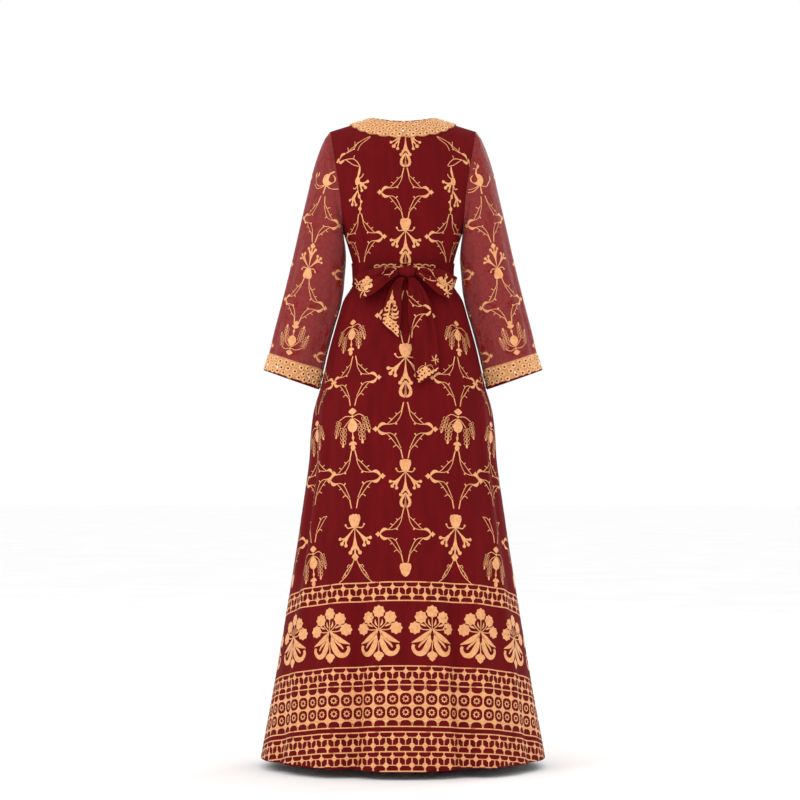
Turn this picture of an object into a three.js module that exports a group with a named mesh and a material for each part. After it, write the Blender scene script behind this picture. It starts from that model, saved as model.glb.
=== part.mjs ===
// A full-length belted kaftan in worn form with nobody in it: front and back bodice,
// A-line skirt, wide sleeves with cuffs, a neck band, and a sash tied in a bow at the back.
// Millimetres, +Z up. The front faces -Y, the wearer's left is +X, and the origin lies
// midway between the two neck points, on the line of the shoulders that hold the garment up.
import * as THREE from "three";

// Driving dimensions
const NECK_HALF = 72; // centre of the neck to the neck point on the shoulder seam
const SHOULDER_HALF = 160; // centre to the shoulder end of the armhole
const SHOULDER_SLOPE = 0.3; // fall of the shoulder seam for each mm outwards
const YOKE_Z = -170; // height where the cloth starts to round over towards the shoulder
const UNDERARM_Z = -250;
const ARMHOLE_YOKE_X = 137; // half width between the armholes at the yoke height
const ARMHOLE_LOW_X = 131; // half width at the underarm
const WAIST_Z = -352; // seam between bodice and skirt, under the belt
const HEM_Z = -1408;
const HEM_RISE = { middle: 4, side: 4.5, spread: 22, from: -1230 };
const ROUND_OVER = 2.3; // exponent of the shoulder's rounding
const SECTION_POWER = 2.2; // exponent of the horizontal sections
const BACK_NECK_TURN = 31; // degrees from the shoulder seam down to the back neckline
const FRONT_NECK_TURN = 61; // degrees from the shoulder seam down to the front neckline
const SEAM_GAP = 0.3;
const BODY_WALL = 1.8;
const SLEEVE_WALL = 1.4;
const TRIM_WALL = 1.4;
const SASH_WALL = 1.6;
const LIFT = 0.6; // clearance of a piece that lies on another
const BELT_LIFT = 1.1; // clearance of the belt, which wraps the bodice and the skirt

const CLOTH_RED = 0x6e1019;
const SHEER_RED = 0x8f3a45;
const TRIM_GOLD = 0xd09a52;

const degrees = THREE.MathUtils.degToRad;

// Horizontal sections of the body, from the shoulder to the hem
const BODY = [
  { z: 0, halfWidth: 166, back: 106, front: 100 },
  { z: -120, halfWidth: 166, back: 107, front: 112 },
  { z: -170, halfWidth: 158, back: 107, front: 126 },
  { z: -209, halfWidth: 148, back: 104, front: 133 },
  { z: -250, halfWidth: 131, back: 98, front: 127 },
  { z: -290, halfWidth: 118, back: 89, front: 111 },
  { z: -317, halfWidth: 111, back: 82, front: 99 },
  { z: -341, halfWidth: 109, back: 79, front: 94 },
  { z: -363, halfWidth: 110, back: 81, front: 94 },
  { z: -396, halfWidth: 130, back: 101, front: 107 },
  { z: -431, halfWidth: 141, back: 113, front: 115 },
  { z: -466, halfWidth: 151, back: 122, front: 121 },
  { z: -502, halfWidth: 161, back: 130, front: 126 },
  { z: -551, halfWidth: 172, back: 139, front: 133 },
  { z: -592, halfWidth: 182, back: 145, front: 139 },
  { z: -640, halfWidth: 196, back: 153, front: 146 },
  { z: -695, halfWidth: 203, back: 162, front: 155 },
  { z: -748, halfWidth: 206, back: 170, front: 163 },
  { z: -836, halfWidth: 218, back: 184, front: 177 },
  { z: -924, halfWidth: 231, back: 197, front: 190 },
  { z: -1100, halfWidth: 259, back: 223, front: 216 },
  { z: -1276, halfWidth: 289, back: 248, front: 241 },
  { z: -1408, halfWidth: 312, back: 266, front: 259 },
];

// Folds of the skirt. angle runs from the centre back (0) towards the wearer's left (90)
// and on to the front (180). out is the height at full strength, and negative is a trough.
const FOLDS = [
  { angle: 0, out: 8, spread: 11, from: -640, full: -1300, fades: -9999 },
  { angle: 19, out: -21, spread: 4.4, from: -800, full: -1330, fades: -9999 },
  { angle: 31, out: 9, spread: 7, from: -760, full: -1300, fades: -9999 },
  { angle: 56, out: 5, spread: 5, from: -560, full: -800, fades: -1150 },
  { angle: 67, out: -7, spread: 5, from: -560, full: -820, fades: -1200 },
  { angle: 60, out: -13, spread: 5, from: -980, full: -1380, fades: -9999 },
  { angle: -24, out: -22, spread: 4.6, from: -780, full: -1330, fades: -9999 },
  { angle: -36, out: 9, spread: 7, from: -760, full: -1300, fades: -9999 },
  { angle: -57, out: 5, spread: 5, from: -580, full: -830, fades: -1180 },
  { angle: -69, out: -7, spread: 5, from: -580, full: -830, fades: -1200 },
  { angle: -63, out: -12, spread: 5, from: -960, full: -1380, fades: -9999 },
  { angle: 122, out: -14, spread: 5, from: -860, full: -1380, fades: -9999 },
  { angle: 140, out: 8, spread: 8, from: -760, full: -1340, fades: -9999 },
  { angle: 157, out: -20, spread: 4.6, from: -820, full: -1340, fades: -9999 },
  { angle: 180, out: 9, spread: 11, from: -680, full: -1320, fades: -9999 },
  { angle: -160, out: -19, spread: 4.4, from: -840, full: -1340, fades: -9999 },
  { angle: -143, out: 8, spread: 8, from: -760, full: -1340, fades: -9999 },
  { angle: -120, out: -14, spread: 5, from: -880, full: -1380, fades: -9999 },
];

// Edges of the sleeve seen from the back: the line under the arm and the line over it.
// wrap is how far its inner back quarter closes round the hip.
const SLEEVE = [
  { innerX: 129.6, innerZ: -262, outerX: 172, outerZ: -42, halfDepth: 62, y: -3, wrap: 0 },
  { innerX: 126.6, innerZ: -282, outerX: 184, outerZ: -70, halfDepth: 62, y: -3, wrap: 0 },
  { innerX: 125.4, innerZ: -308, outerX: 197, outerZ: -110, halfDepth: 61, y: -4, wrap: 0 },
  { innerX: 128, innerZ: -343, outerX: 211, outerZ: -168, halfDepth: 60, y: -5, wrap: 0 },
  { innerX: 131.5, innerZ: -380, outerX: 228, outerZ: -240, halfDepth: 59, y: -6, wrap: 6 },
  { innerX: 140, innerZ: -420, outerX: 246, outerZ: -318, halfDepth: 57, y: -8, wrap: 10 },
  { innerX: 153, innerZ: -462, outerX: 265, outerZ: -394, halfDepth: 56, y: -10, wrap: 12 },
  { innerX: 165.5, innerZ: -508, outerX: 283, outerZ: -462, halfDepth: 55, y: -12, wrap: 12 },
  { innerX: 175.5, innerZ: -553, outerX: 295, outerZ: -512, halfDepth: 54, y: -14, wrap: 10 },
  { innerX: 185, innerZ: -593, outerX: 307, outerZ: -550, halfDepth: 53, y: -14, wrap: 8 },
];
const CUFF_FROM = 8; // row of SLEEVE where the cuff starts

// Long soft flutes of the sleeve. angle runs from the underarm (0) by the back (90) to the top (180)
const FLUTES = [
  { angle: 55, out: -4, spread: 14 },
  { angle: 118, out: 3, spread: 16 },
  { angle: 150, out: -3, spread: 12 },
  { angle: 240, out: -4, spread: 14 },
  { angle: 305, out: 3, spread: 16 },
];

// Row heights of the bodice up to the yoke, then turns over the shoulder in shares of the neck turn
const BODICE_Z = [-352, -341, -329, -317, -298, -279, -262, -250, -229, -203, -170];
const UNDERARM_ROW = 7;
const YOKE_TURNS = [1 / 6, 2 / 6, 3 / 6, 4 / 6, 5 / 6, 1];
const NECK_COLUMNS = 4; // columns from the centre to the neck point
const SHOULDER_COLUMNS = 9; // columns from the neck point to the armhole
const SKIRT_Z = [
  -352, -363, -378, -400, -440, -500, -580, -680, -790, -910, -1030, -1140, -1240, -1330, -1408,
];
const SKIRT_COLUMNS = 50;

// The belt, its bow and where they lie
const BELT_ROWS_Z = [-317, -329, -341, -352, -363];
const BELT_COLUMNS = 60;
const KNOT = { x: -9, z: -339, height: 11.4, halfWidth: 19, halfHeight: 12, halfThick: 11 };
const KNOT_END = 0.6; // sweep in radians left off each end of the knot, where the loops go in
const BOW_SPREAD = 0.8; // the bow's base follows the body at this share of its own x
// One bow loop from the knot out over the front pass, round its end and back to the knot
const BOW_LOOP = [
  { out: 19.8, down: 0, height: 15.5, half: 7, tilt: 0 },
  { out: 33, down: 2, height: 22, half: 12, tilt: 8 },
  { out: 54, down: 11, height: 30, half: 20, tilt: 14 },
  { out: 80, down: 24, height: 31, half: 26, tilt: 18 },
  { out: 103, down: 34, height: 26, half: 27, tilt: 18 },
  { out: 112, down: 37, height: 17, half: 26, tilt: 17 },
  { out: 104, down: 34, height: 8.5, half: 25, tilt: 16 },
  { out: 82, down: 25, height: 6.5, half: 23, tilt: 14 },
  { out: 56, down: 12, height: 9, half: 18, tilt: 10 },
  { out: 33, down: 3, height: 10, half: 11.5, tilt: 6 },
  { out: 19.8, down: 0, height: 9, half: 7, tilt: 0 },
];
const LOOP_REACH = { left: 0.97, right: 0.88 }; // shares of the path's length
const LOOP_STEPS = 22;
const LOOP_COLUMNS = 8;
// Tails of the sash: centre, half width and height over the body, and the slant of the cut end
const TAIL_LEFT = [
  { x: 2, z: -351.7, half: 6, height: 12, slant: 0 },
  { x: 12, z: -368, half: 10, height: 8, slant: 1 },
  { x: 19, z: -398, half: 16, height: 6, slant: 3 },
  { x: 24, z: -432, half: 19, height: 6, slant: 9 },
  { x: 28, z: -470, half: 20, height: 6, slant: 18 },
];
const TAIL_RIGHT = [
  { x: -17, z: -351.7, half: 6, height: 12, slant: 0 },
  { x: -25, z: -366, half: 13, height: 7.5, slant: 0 },
  { x: -33, z: -400, half: 22, height: 6, slant: -1 },
  { x: -39, z: -446, half: 26.5, height: 6, slant: -3 },
  { x: -48, z: -510, half: 27.5, height: 6, slant: -8 },
  { x: -54, z: -573, half: 23.5, height: 6, slant: -15.5 },
];
const TAIL_STEPS = 12;
const TAIL_COLUMNS = 10;

const NECK_BAND_WIDTH = 46;
const NECK_BAND_ROWS = 2;
const SCALLOPS = 12; // scallops along each half of the band's outer edge, back or front
const SCALLOP_DEPTH = 3;

// Value of a table's column at z, on a smooth curve through its rows
function smooth(table, key, at, by = "z") {
  const falling = table[0][by] > table[table.length - 1][by];
  let i = 0;
  while (i < table.length - 2 && (falling ? at < table[i + 1][by] : at > table[i + 1][by])) i++;
  const slope = (j) => {
    const a = table[Math.max(j - 1, 0)];
    const b = table[Math.min(j + 1, table.length - 1)];
    return (b[key] - a[key]) / (b[by] - a[by]);
  };
  const step = table[i + 1][by] - table[i][by];
  const t = THREE.MathUtils.clamp((at - table[i][by]) / step, 0, 1);
  return (
    table[i][key] * (1 + 2 * t) * (1 - t) ** 2 +
    table[i + 1][key] * (3 - 2 * t) * t * t +
    (slope(i) * (1 - t) + slope(i + 1) * -t) * t * (1 - t) * step
  );
}

const ramp = (at, from, to) => THREE.MathUtils.smoothstep((at - from) / (to - from), 0, 1);

// Height of the shoulder seam over a point x, carried on as a low crown inside the neck
function shoulderZ(x) {
  const out = Math.abs(x);
  if (out >= NECK_HALF) return -SHOULDER_SLOPE * (out - NECK_HALF);
  return 0.5 * SHOULDER_SLOPE * NECK_HALF * (1 - (out / NECK_HALF) ** 2);
}

// Depth of the level section at x, as a share of its depth in the middle
const sectionShare = (x, halfWidth) =>
  Math.max(0, 1 - Math.min(1, Math.abs(x) / halfWidth) ** SECTION_POWER) ** (1 / SECTION_POWER);

// Half width to the armhole's edge, side is "back" or "front" in the functions below
function armholeX(z, rise) {
  if (z > YOKE_Z) return THREE.MathUtils.lerp(ARMHOLE_YOKE_X, SHOULDER_HALF, rise);
  return THREE.MathUtils.mapLinear(z, UNDERARM_Z, YOKE_Z, ARMHOLE_LOW_X, ARMHOLE_YOKE_X);
}

// Point of the bodice: share is the place across, from -1 to 1; a row is a height or a turn
function bodicePoint(share, row, side) {
  const sign = side === "back" ? 1 : -1;
  if (row.turn === undefined) {
    const halfWidth = smooth(BODY, "halfWidth", row.z);
    const edge = row.z > UNDERARM_Z ? armholeX(row.z, 0) : halfWidth;
    const x = share * edge;
    const y = smooth(BODY, side, row.z) * sectionShare(x, halfWidth);
    return new THREE.Vector3(x, sign * (y + SEAM_GAP / 2), row.z);
  }
  const turn = row.turn * neckTurn(share, side);
  const rise = Math.sin(turn) ** (2 / ROUND_OVER);
  const x = share * armholeX(0, rise);
  return yokePoint(x, turn, side);
}

// Point of the rounded yoke at x; turn is 0 at the yoke height and a quarter turn at the seam
function yokePoint(x, turn, side) {
  const sign = side === "back" ? 1 : -1;
  const rise = Math.sin(turn) ** (2 / ROUND_OVER);
  const z = YOKE_Z + (shoulderZ(x) - YOKE_Z) * rise;
  const deep = smooth(BODY, side, z) * sectionShare(x, smooth(BODY, "halfWidth", z));
  const y = deep * Math.max(0, Math.cos(turn)) ** (2 / ROUND_OVER);
  return new THREE.Vector3(x, sign * (y + SEAM_GAP / 2), z);
}

// How far the cloth of a column turns over the shoulder before it ends at the neckline or the seam
function neckTurn(share, side) {
  const x = Math.abs(share) * SHOULDER_HALF;
  const cut = degrees(side === "back" ? BACK_NECK_TURN : FRONT_NECK_TURN);
  return Math.PI / 2 - cut * Math.sqrt(Math.max(0, 1 - (x / NECK_HALF) ** 2));
}

function foldHeight(angle, z) {
  let out = 0;
  for (const fold of FOLDS) {
    const away = THREE.MathUtils.euclideanModulo(angle - fold.angle + 180, 360) - 180;
    const strength = ramp(z, fold.from, fold.full) * (1 - ramp(z, fold.fades, fold.fades - 220));
    out += fold.out * strength * Math.exp(-((away / fold.spread) ** 2));
  }
  return out;
}

// The hem rises a little from the middle of the back and of the front towards the sides
function hemRise(angle, z) {
  const away = 90 - Math.abs(Math.abs(angle) - 90);
  const rise = HEM_RISE.middle + HEM_RISE.side * (1 - Math.exp(-((away / HEM_RISE.spread) ** 2)));
  return rise * ramp(z, HEM_RISE.from, HEM_Z);
}

// Point of the skirt or of the lower bodice at an angle from the centre back
function bodyPoint(angle, z, lift = 0) {
  const a = degrees(angle);
  const side = Math.abs(angle) <= 90 ? "back" : "front";
  const power = (v) => Math.sign(v) * Math.abs(v) ** (2 / SECTION_POWER);
  const x = smooth(BODY, "halfWidth", z) * power(Math.sin(a));
  const y = smooth(BODY, side, z) * power(Math.cos(a));
  const outwards = new THREE.Vector2(x, y).normalize().multiplyScalar(foldHeight(angle, z) + lift);
  return new THREE.Vector3(x + outwards.x, y + outwards.y, z + hemRise(angle, z));
}

// Depth of the back of the body under a point of the bow
function backDepth(x, z) {
  const near = x * BOW_SPREAD;
  return smooth(BODY, "back", z) * sectionShare(near, smooth(BODY, "halfWidth", z));
}

// Outward direction at each point of a grid of rows and columns
function gridNormals(grid, wraps) {
  const rows = grid.length;
  const columns = grid[0].length;
  return grid.map((row, r) =>
    row.map((_, c) => {
      const up = grid[Math.min(r + 1, rows - 1)][c].clone().sub(grid[Math.max(r - 1, 0)][c]);
      const next = wraps ? (c + 1) % columns : Math.min(c + 1, columns - 1);
      const last = wraps ? (c + columns - 1) % columns : Math.max(c - 1, 0);
      return row[next].clone().sub(row[last]).cross(up).normalize();
    }),
  );
}

// A cloth wall between an outer and an inner grid of points, closed along its rims
function wallBetween(outer, inner, wraps) {
  const rows = outer.length;
  const columns = outer[0].length;
  const points = [...outer.flat(), ...inner.flat()];
  const out = (r, c) => r * columns + (c % columns);
  const inn = (r, c) => rows * columns + out(r, c);
  const index = [];
  const quad = (a, b, c, d) => index.push(a, b, c, a, c, d);
  const spans = wraps ? columns : columns - 1;
  for (let r = 0; r < rows - 1; r++)
    for (let c = 0; c < spans; c++) {
      quad(out(r, c), out(r, c + 1), out(r + 1, c + 1), out(r + 1, c));
      quad(inn(r, c), inn(r + 1, c), inn(r + 1, c + 1), inn(r, c + 1));
    }
  const last = rows - 1;
  for (let c = 0; c < spans; c++) {
    quad(out(0, c), inn(0, c), inn(0, c + 1), out(0, c + 1));
    quad(out(last, c), out(last, c + 1), inn(last, c + 1), inn(last, c));
  }
  if (!wraps)
    for (let r = 0; r < last; r++) {
      quad(out(r, 0), out(r + 1, 0), inn(r + 1, 0), inn(r, 0));
      quad(out(r, spans), inn(r, spans), inn(r + 1, spans), out(r + 1, spans));
    }
  return solidGeometry(points, index);
}

// Geometry of a closed solid, with its faces turned outwards
function solidGeometry(points, index) {
  const edge = new THREE.Vector3();
  let volume = 0;
  for (let i = 0; i < index.length; i += 3)
    volume += edge.crossVectors(points[index[i]], points[index[i + 1]]).dot(points[index[i + 2]]);
  const faces = volume < 0 ? index.slice().reverse() : index;
  const geometry = new THREE.BufferGeometry().setFromPoints(points);
  geometry.setIndex(faces);
  geometry.computeVertexNormals();
  return geometry;
}

const shifted = (grid, normals, by) =>
  grid.map((row, r) => row.map((p, c) => p.clone().addScaledVector(normals[r][c], by)));

// Shares across the bodice: even turns from the centre to the neck point, then to the armhole
function bodiceShares() {
  const turnOf = (share) => Math.asin(share ** (SECTION_POWER / 2));
  const neck = turnOf(NECK_HALF / SHOULDER_HALF);
  const half = [];
  for (let i = 0; i <= NECK_COLUMNS; i++) half.push((neck * i) / NECK_COLUMNS);
  for (let i = 1; i <= SHOULDER_COLUMNS; i++)
    half.push(neck + ((Math.PI / 2 - neck) * i) / SHOULDER_COLUMNS);
  const shares = half.map((turn) => Math.sin(turn) ** (2 / SECTION_POWER));
  return [...shares.slice(1).reverse().map((s) => -s), ...shares];
}

const bodiceRows = () => [
  ...BODICE_Z.map((z) => ({ z })),
  ...YOKE_TURNS.map((turn) => ({ turn })),
];

// Front or back of the bodice; its rims at the seams stay square to the seam
function bodicePanel(side) {
  const rows = bodiceRows();
  const shares = bodiceShares();
  const grid = rows.map((row) => shares.map((share) => bodicePoint(share, row, side)));
  const normals = gridNormals(grid, false);
  const outwards = side === "back" ? -1 : 1;
  normals.forEach((row, r) =>
    row.forEach((n, c) => {
      n.multiplyScalar(outwards);
      const seam = rows[r].turn === 1 && Math.abs(shares[c]) * SHOULDER_HALF >= NECK_HALF - 1;
      const atSide = Math.abs(shares[c]) === 1 && r <= UNDERARM_ROW;
      if (seam || atSide) n.setY(0).normalize();
    }),
  );
  return wallBetween(grid, shifted(grid, normals, -BODY_WALL), false);
}

function skirtPanel(side) {
  const start = side === "back" ? -90 : 90;
  const sign = side === "back" ? 1 : -1;
  const rows = SKIRT_Z.map((z) => (z === WAIST_Z ? z - SEAM_GAP : z));
  const grid = rows.map((z) => {
    const row = [];
    for (let c = 0; c <= SKIRT_COLUMNS; c++) {
      const turned = start + (180 * c) / SKIRT_COLUMNS;
      const angle = turned > 180 ? turned - 360 : turned;
      const point = bodyPoint(angle, z);
      row.push(point.setY(sign * (Math.abs(point.y) + SEAM_GAP / 2)));
    }
    return row;
  });
  const normals = gridNormals(grid, false);
  normals.forEach((row) =>
    row.forEach((n, c) => {
      n.multiplyScalar(Math.sign(n.dot(new THREE.Vector3(grid[0][c].x, grid[0][c].y, 0))) || 1);
      if (c === 0 || c === SKIRT_COLUMNS) n.setY(0).normalize();
    }),
  );
  return wallBetween(grid, shifted(grid, normals, -BODY_WALL), false);
}

// Rings of the left sleeve, each starting under the arm and running by the back over the top
function sleeveRings() {
  const edgeRows = bodiceRows().slice(UNDERARM_ROW);
  const back = edgeRows.map((row) => bodicePoint(1, row, "back"));
  const front = edgeRows.map((row) => bodicePoint(1, row, "front"));
  const loop = [...back, ...front.slice(1, -1).reverse()];
  const low = back[0].z;
  const high = back[back.length - 1].z;
  const first = loop.map((p, i) => {
    const joined = i === 0 || i === back.length - 1;
    return new THREE.Vector3(p.x + SEAM_GAP, joined ? 0 : p.y, p.z);
  });
  const shares = loop.map((p) => (p.z - low) / (high - low));
  const rings = SLEEVE.map((row, k) =>
    shares.map((share, i) => {
      const turn = Math.acos(1 - 2 * share) * (i < back.length ? 1 : -1);
      const across = Math.cos(turn);
      const flute = fluteHeight(THREE.MathUtils.radToDeg(turn), k / (SLEEVE.length - 1));
      const halfX = (row.outerX - row.innerX) / 2;
      const halfZ = (row.outerZ - row.innerZ) / 2;
      const grow = 1 + flute / row.halfDepth;
      const quarter = turn > 0 && across > 0 ? Math.sin(2 * turn) ** 2 : 0;
      return new THREE.Vector3(
        row.innerX + halfX - halfX * across * grow - row.wrap * quarter,
        row.y + row.halfDepth * Math.sin(turn) * grow,
        row.innerZ + halfZ - halfZ * across * grow,
      );
    }),
  );
  return [first, ...rings];
}

function fluteHeight(angle, along) {
  const strength = ramp(along, 0.1, 0.6);
  let out = 0;
  for (const flute of FLUTES) {
    const away = THREE.MathUtils.euclideanModulo(angle - flute.angle + 180, 360) - 180;
    out += flute.out * strength * Math.exp(-((away / flute.spread) ** 2));
  }
  return out;
}

// The sleeve from the armhole to the cuff, or the cuff alone, for one side of the garment
function sleevePart(isCuff, mirror) {
  const rings = sleeveRings();
  const normals = gridNormals(rings, true);
  const middle = rings.map((ring) =>
    ring.reduce((sum, p) => sum.add(p), new THREE.Vector3()).divideScalar(ring.length),
  );
  normals.forEach((row, r) =>
    row.forEach((n, c) => {
      if (n.dot(rings[r][c].clone().sub(middle[r])) < 0) n.negate();
      if (r === 0) n.setX(Math.min(0, n.x)).normalize();
    }),
  );
  const from = isCuff ? CUFF_FROM + 1 : 0;
  const to = isCuff ? rings.length : CUFF_FROM + 2;
  const outer = rings.slice(from, to).map((row) => row.map((p) => p.clone()));
  const along = outer[outer.length - 2].map((p, c) => rings[to - 1][c].clone().sub(p).normalize());
  if (isCuff) outer[0].forEach((p, c) => p.addScaledVector(along[c], SEAM_GAP));
  const wall = isCuff ? TRIM_WALL : SLEEVE_WALL;
  const inner = shifted(outer, normals.slice(from, to), -wall);
  const side = new THREE.Vector3(mirror, 1, 1);
  const placed = (grid) => grid.map((row) => row.map((p) => p.clone().multiply(side)));
  return wallBetween(placed(outer), placed(inner), true);
}

// The neck band follows the neckline all round and lies on both bodice panels
function neckBand() {
  const steps = SCALLOPS * 3;
  const columns = [];
  for (const side of ["back", "front"])
    for (let i = 0; i < steps * 2; i++) {
      const along = side === "back" ? -1 + i / steps : 1 - i / steps;
      columns.push({ side, along });
    }
  const rows = [];
  for (let r = 0; r <= NECK_BAND_ROWS; r++)
    rows.push(columns.map(({ side, along }) => bandPoint(along, r / NECK_BAND_ROWS, side)));
  const normals = gridNormals(rows, true);
  normals.forEach((row, r) =>
    row.forEach((n, c) => {
      if (n.dot(rows[r][c].clone().setZ(rows[r][c].z + 200)) < 0) n.negate();
    }),
  );
  return wallBetween(shifted(rows, normals, LIFT + TRIM_WALL), shifted(rows, normals, LIFT), true);
}

// Point of the band: along runs from one shoulder seam (-1) by the middle (0) to the other (1)
function bandPoint(along, across, side) {
  const sweep = (along * Math.PI) / 2;
  const scallop = SCALLOP_DEPTH * Math.abs(Math.sin(SCALLOPS * sweep));
  const wide = across * (NECK_BAND_WIDTH - SCALLOP_DEPTH + scallop);
  const cut = degrees(side === "back" ? BACK_NECK_TURN : FRONT_NECK_TURN);
  const neck = { x: NECK_HALF * Math.sin(sweep), turn: Math.PI / 2 - cut * Math.cos(sweep) };
  const downwards = Math.cos(sweep);
  return travel(neck, Math.sin(sweep) * wide, downwards * wide, side);
}

// Moves over the yoke from a point: outwards by x, and down the cloth by a length measured on it
function travel(start, outwards, down, side) {
  const x = start.x + outwards;
  const steps = 12;
  let turn = start.turn;
  let here = yokePoint(x, turn, side);
  let z = here.z;
  for (let i = 0; i < steps; i++) {
    const probe = 0.01;
    const ahead = turn > probe ? yokePoint(x, turn - probe, side) : null;
    const length = ahead ? ahead.distanceTo(here) / probe : 0;
    const move = down / steps;
    if (ahead && turn - move / length > 0.02) {
      turn -= move / length;
      here = yokePoint(x, turn, side);
      z = here.z;
    } else {
      z -= move;
      const share = x / armholeX(z, 0);
      here = bodicePoint(share, { z: Math.min(z, YOKE_Z) }, side);
    }
  }
  return here;
}

// The belt wraps the waist over the seam and narrows a little where the knot gathers it
function belt() {
  const middle = (BELT_ROWS_Z[0] + BELT_ROWS_Z[BELT_ROWS_Z.length - 1]) / 2;
  const grid = BELT_ROWS_Z.map((z) => {
    const row = [];
    for (let c = 0; c < BELT_COLUMNS; c++) {
      const angle = -180 + (360 * c) / BELT_COLUMNS;
      const gather = 1 - 0.22 * Math.exp(-((angle / 22) ** 2));
      row.push(bodyPoint(angle, middle + (z - middle) * gather, BELT_LIFT));
    }
    return row;
  });
  const normals = gridNormals(grid, true);
  normals.forEach((row, r) =>
    row.forEach((n, c) => {
      if (n.x * grid[r][c].x + n.y * grid[r][c].y < 0) n.negate();
    }),
  );
  return wallBetween(shifted(grid, normals, SASH_WALL), grid, true);
}

// Depth of the outside of the belt under a point of the bow
const bowBase = (x, z) => backDepth(x, z) + BELT_LIFT + SASH_WALL;

// The knot is the sash wrapped once round itself, a rounded lump with its wrap marked by grooves
function knot() {
  const stations = 12;
  const around = 20;
  const points = [];
  const base = bowBase(KNOT.x, KNOT.z) + KNOT.height;
  for (let i = 0; i <= stations; i++) {
    const sweep = KNOT_END + ((Math.PI - 2 * KNOT_END) * i) / stations;
    const round = Math.sin(sweep) ** 0.7;
    for (let j = 0; j < around; j++) {
      const turn = (2 * Math.PI * j) / around;
      const groove = 1 - 0.05 * Math.cos(3 * sweep + 2 * turn);
      points.push(
        new THREE.Vector3(
          KNOT.x - (KNOT.halfWidth * Math.cos(sweep)) / Math.cos(KNOT_END),
          base + KNOT.halfThick * round * groove * Math.cos(turn),
          KNOT.z + KNOT.halfHeight * round * groove * Math.sin(turn),
        ),
      );
    }
  }
  const start = points.push(new THREE.Vector3(KNOT.x - KNOT.halfWidth, base, KNOT.z)) - 1;
  const end = points.push(new THREE.Vector3(KNOT.x + KNOT.halfWidth, base, KNOT.z)) - 1;
  const index = [];
  const at = (i, j) => i * around + (j % around);
  for (let j = 0; j < around; j++) {
    index.push(start, at(0, j + 1), at(0, j));
    index.push(end, at(stations, j), at(stations, j + 1));
    for (let i = 0; i < stations; i++)
      index.push(at(i, j), at(i, j + 1), at(i + 1, j + 1), at(i, j), at(i + 1, j + 1), at(i + 1, j));
  }
  return solidGeometry(points, index);
}

// One loop of the bow: a strip of the sash, gathered at the knot, that turns back on itself
function bowLoop(direction, reach) {
  const path = BOW_LOOP.map((row, i) => ({ ...row, i }));
  const grid = [];
  for (let s = 0; s <= LOOP_STEPS; s++) {
    const at = ((path.length - 1) * s) / LOOP_STEPS;
    const value = (key) => smooth(path, key, at, "i");
    const tilt = degrees(value("tilt"));
    const along = s / LOOP_STEPS;
    const nearKnot = Math.exp(-((Math.min(along, 1 - along) / 0.13) ** 2));
    const row = [];
    for (let c = 0; c <= LOOP_COLUMNS; c++) {
      const w = (2 * c) / LOOP_COLUMNS - 1;
      const root = BOW_LOOP[0].out;
      const out = root + (value("out") - root) * reach + value("half") * w * Math.sin(tilt);
      const x = KNOT.x + direction * out;
      const z = KNOT.z - value("down") + value("half") * w * Math.cos(tilt);
      const crown = along < 0.5 ? 4 * (1 - w * w) * Math.sin(2 * Math.PI * along) : 0;
      const gather = 1.2 * nearKnot * Math.cos(3 * Math.PI * w);
      row.push(new THREE.Vector3(x, bowBase(x, z) + value("height") + crown + gather, z));
    }
    grid.push(row);
  }
  const normals = gridNormals(grid, false);
  return wallBetween(
    shifted(grid, normals, SASH_WALL / 2),
    shifted(grid, normals, -SASH_WALL / 2),
    false,
  );
}

// A tail of the sash hangs from the knot with one soft fold, and its end is cut on a slant
function bowTail(table) {
  const grid = [];
  const path = table.map((row, i) => ({ ...row, i }));
  for (let s = 0; s <= TAIL_STEPS; s++) {
    const at = ((path.length - 1) * s) / TAIL_STEPS;
    const value = (key) => smooth(path, key, at, "i");
    const row = [];
    for (let c = 0; c <= TAIL_COLUMNS; c++) {
      const w = (2 * c) / TAIL_COLUMNS - 1;
      const x = value("x") + value("half") * w;
      const z = value("z") + value("slant") * w;
      const fold = 2.2 * Math.cos(2 * Math.PI * w) * Math.min(1, 2.5 * (s / TAIL_STEPS));
      row.push(new THREE.Vector3(x, bowBase(x, z) + value("height") + fold, z));
    }
    grid.push(row);
  }
  const normals = gridNormals(grid, false);
  return wallBetween(
    shifted(grid, normals, SASH_WALL / 2),
    shifted(grid, normals, -SASH_WALL / 2),
    false,
  );
}

const cloth = { color: CLOTH_RED, roughness: 0.75, metalness: 0 };
const sheer = { color: SHEER_RED, roughness: 0.6, metalness: 0, transparent: true, opacity: 0.6 };
const gold = { color: TRIM_GOLD, roughness: 0.45, metalness: 0.4 };

const kaftan = new THREE.Group();
function add(name, geometry, finish) {
  const mesh = new THREE.Mesh(geometry, new THREE.MeshStandardMaterial(finish));
  mesh.name = name;
  kaftan.add(mesh);
}

add("bodice_back", bodicePanel("back"), cloth);
add("bodice_front", bodicePanel("front"), cloth);
add("skirt_back", skirtPanel("back"), cloth);
add("skirt_front", skirtPanel("front"), cloth);
add("neck_band", neckBand(), gold);
for (const [side, mirror] of [["left", 1], ["right", -1]]) {
  add(`sleeve_${side}`, sleevePart(false, mirror), sheer);
  add(`cuff_${side}`, sleevePart(true, mirror), gold);
}
add("belt", belt(), cloth);
add("bow_knot", knot(), cloth);
add("bow_loop_left", bowLoop(1, LOOP_REACH.left), cloth);
add("bow_loop_right", bowLoop(-1, LOOP_REACH.right), cloth);
add("bow_tail_left", bowTail(TAIL_LEFT), cloth);
add("bow_tail_right", bowTail(TAIL_RIGHT), cloth);

export default kaftan;
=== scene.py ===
"""Looks of a full-length belted kaftan, worn with nobody in it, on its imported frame."""

import math

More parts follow.
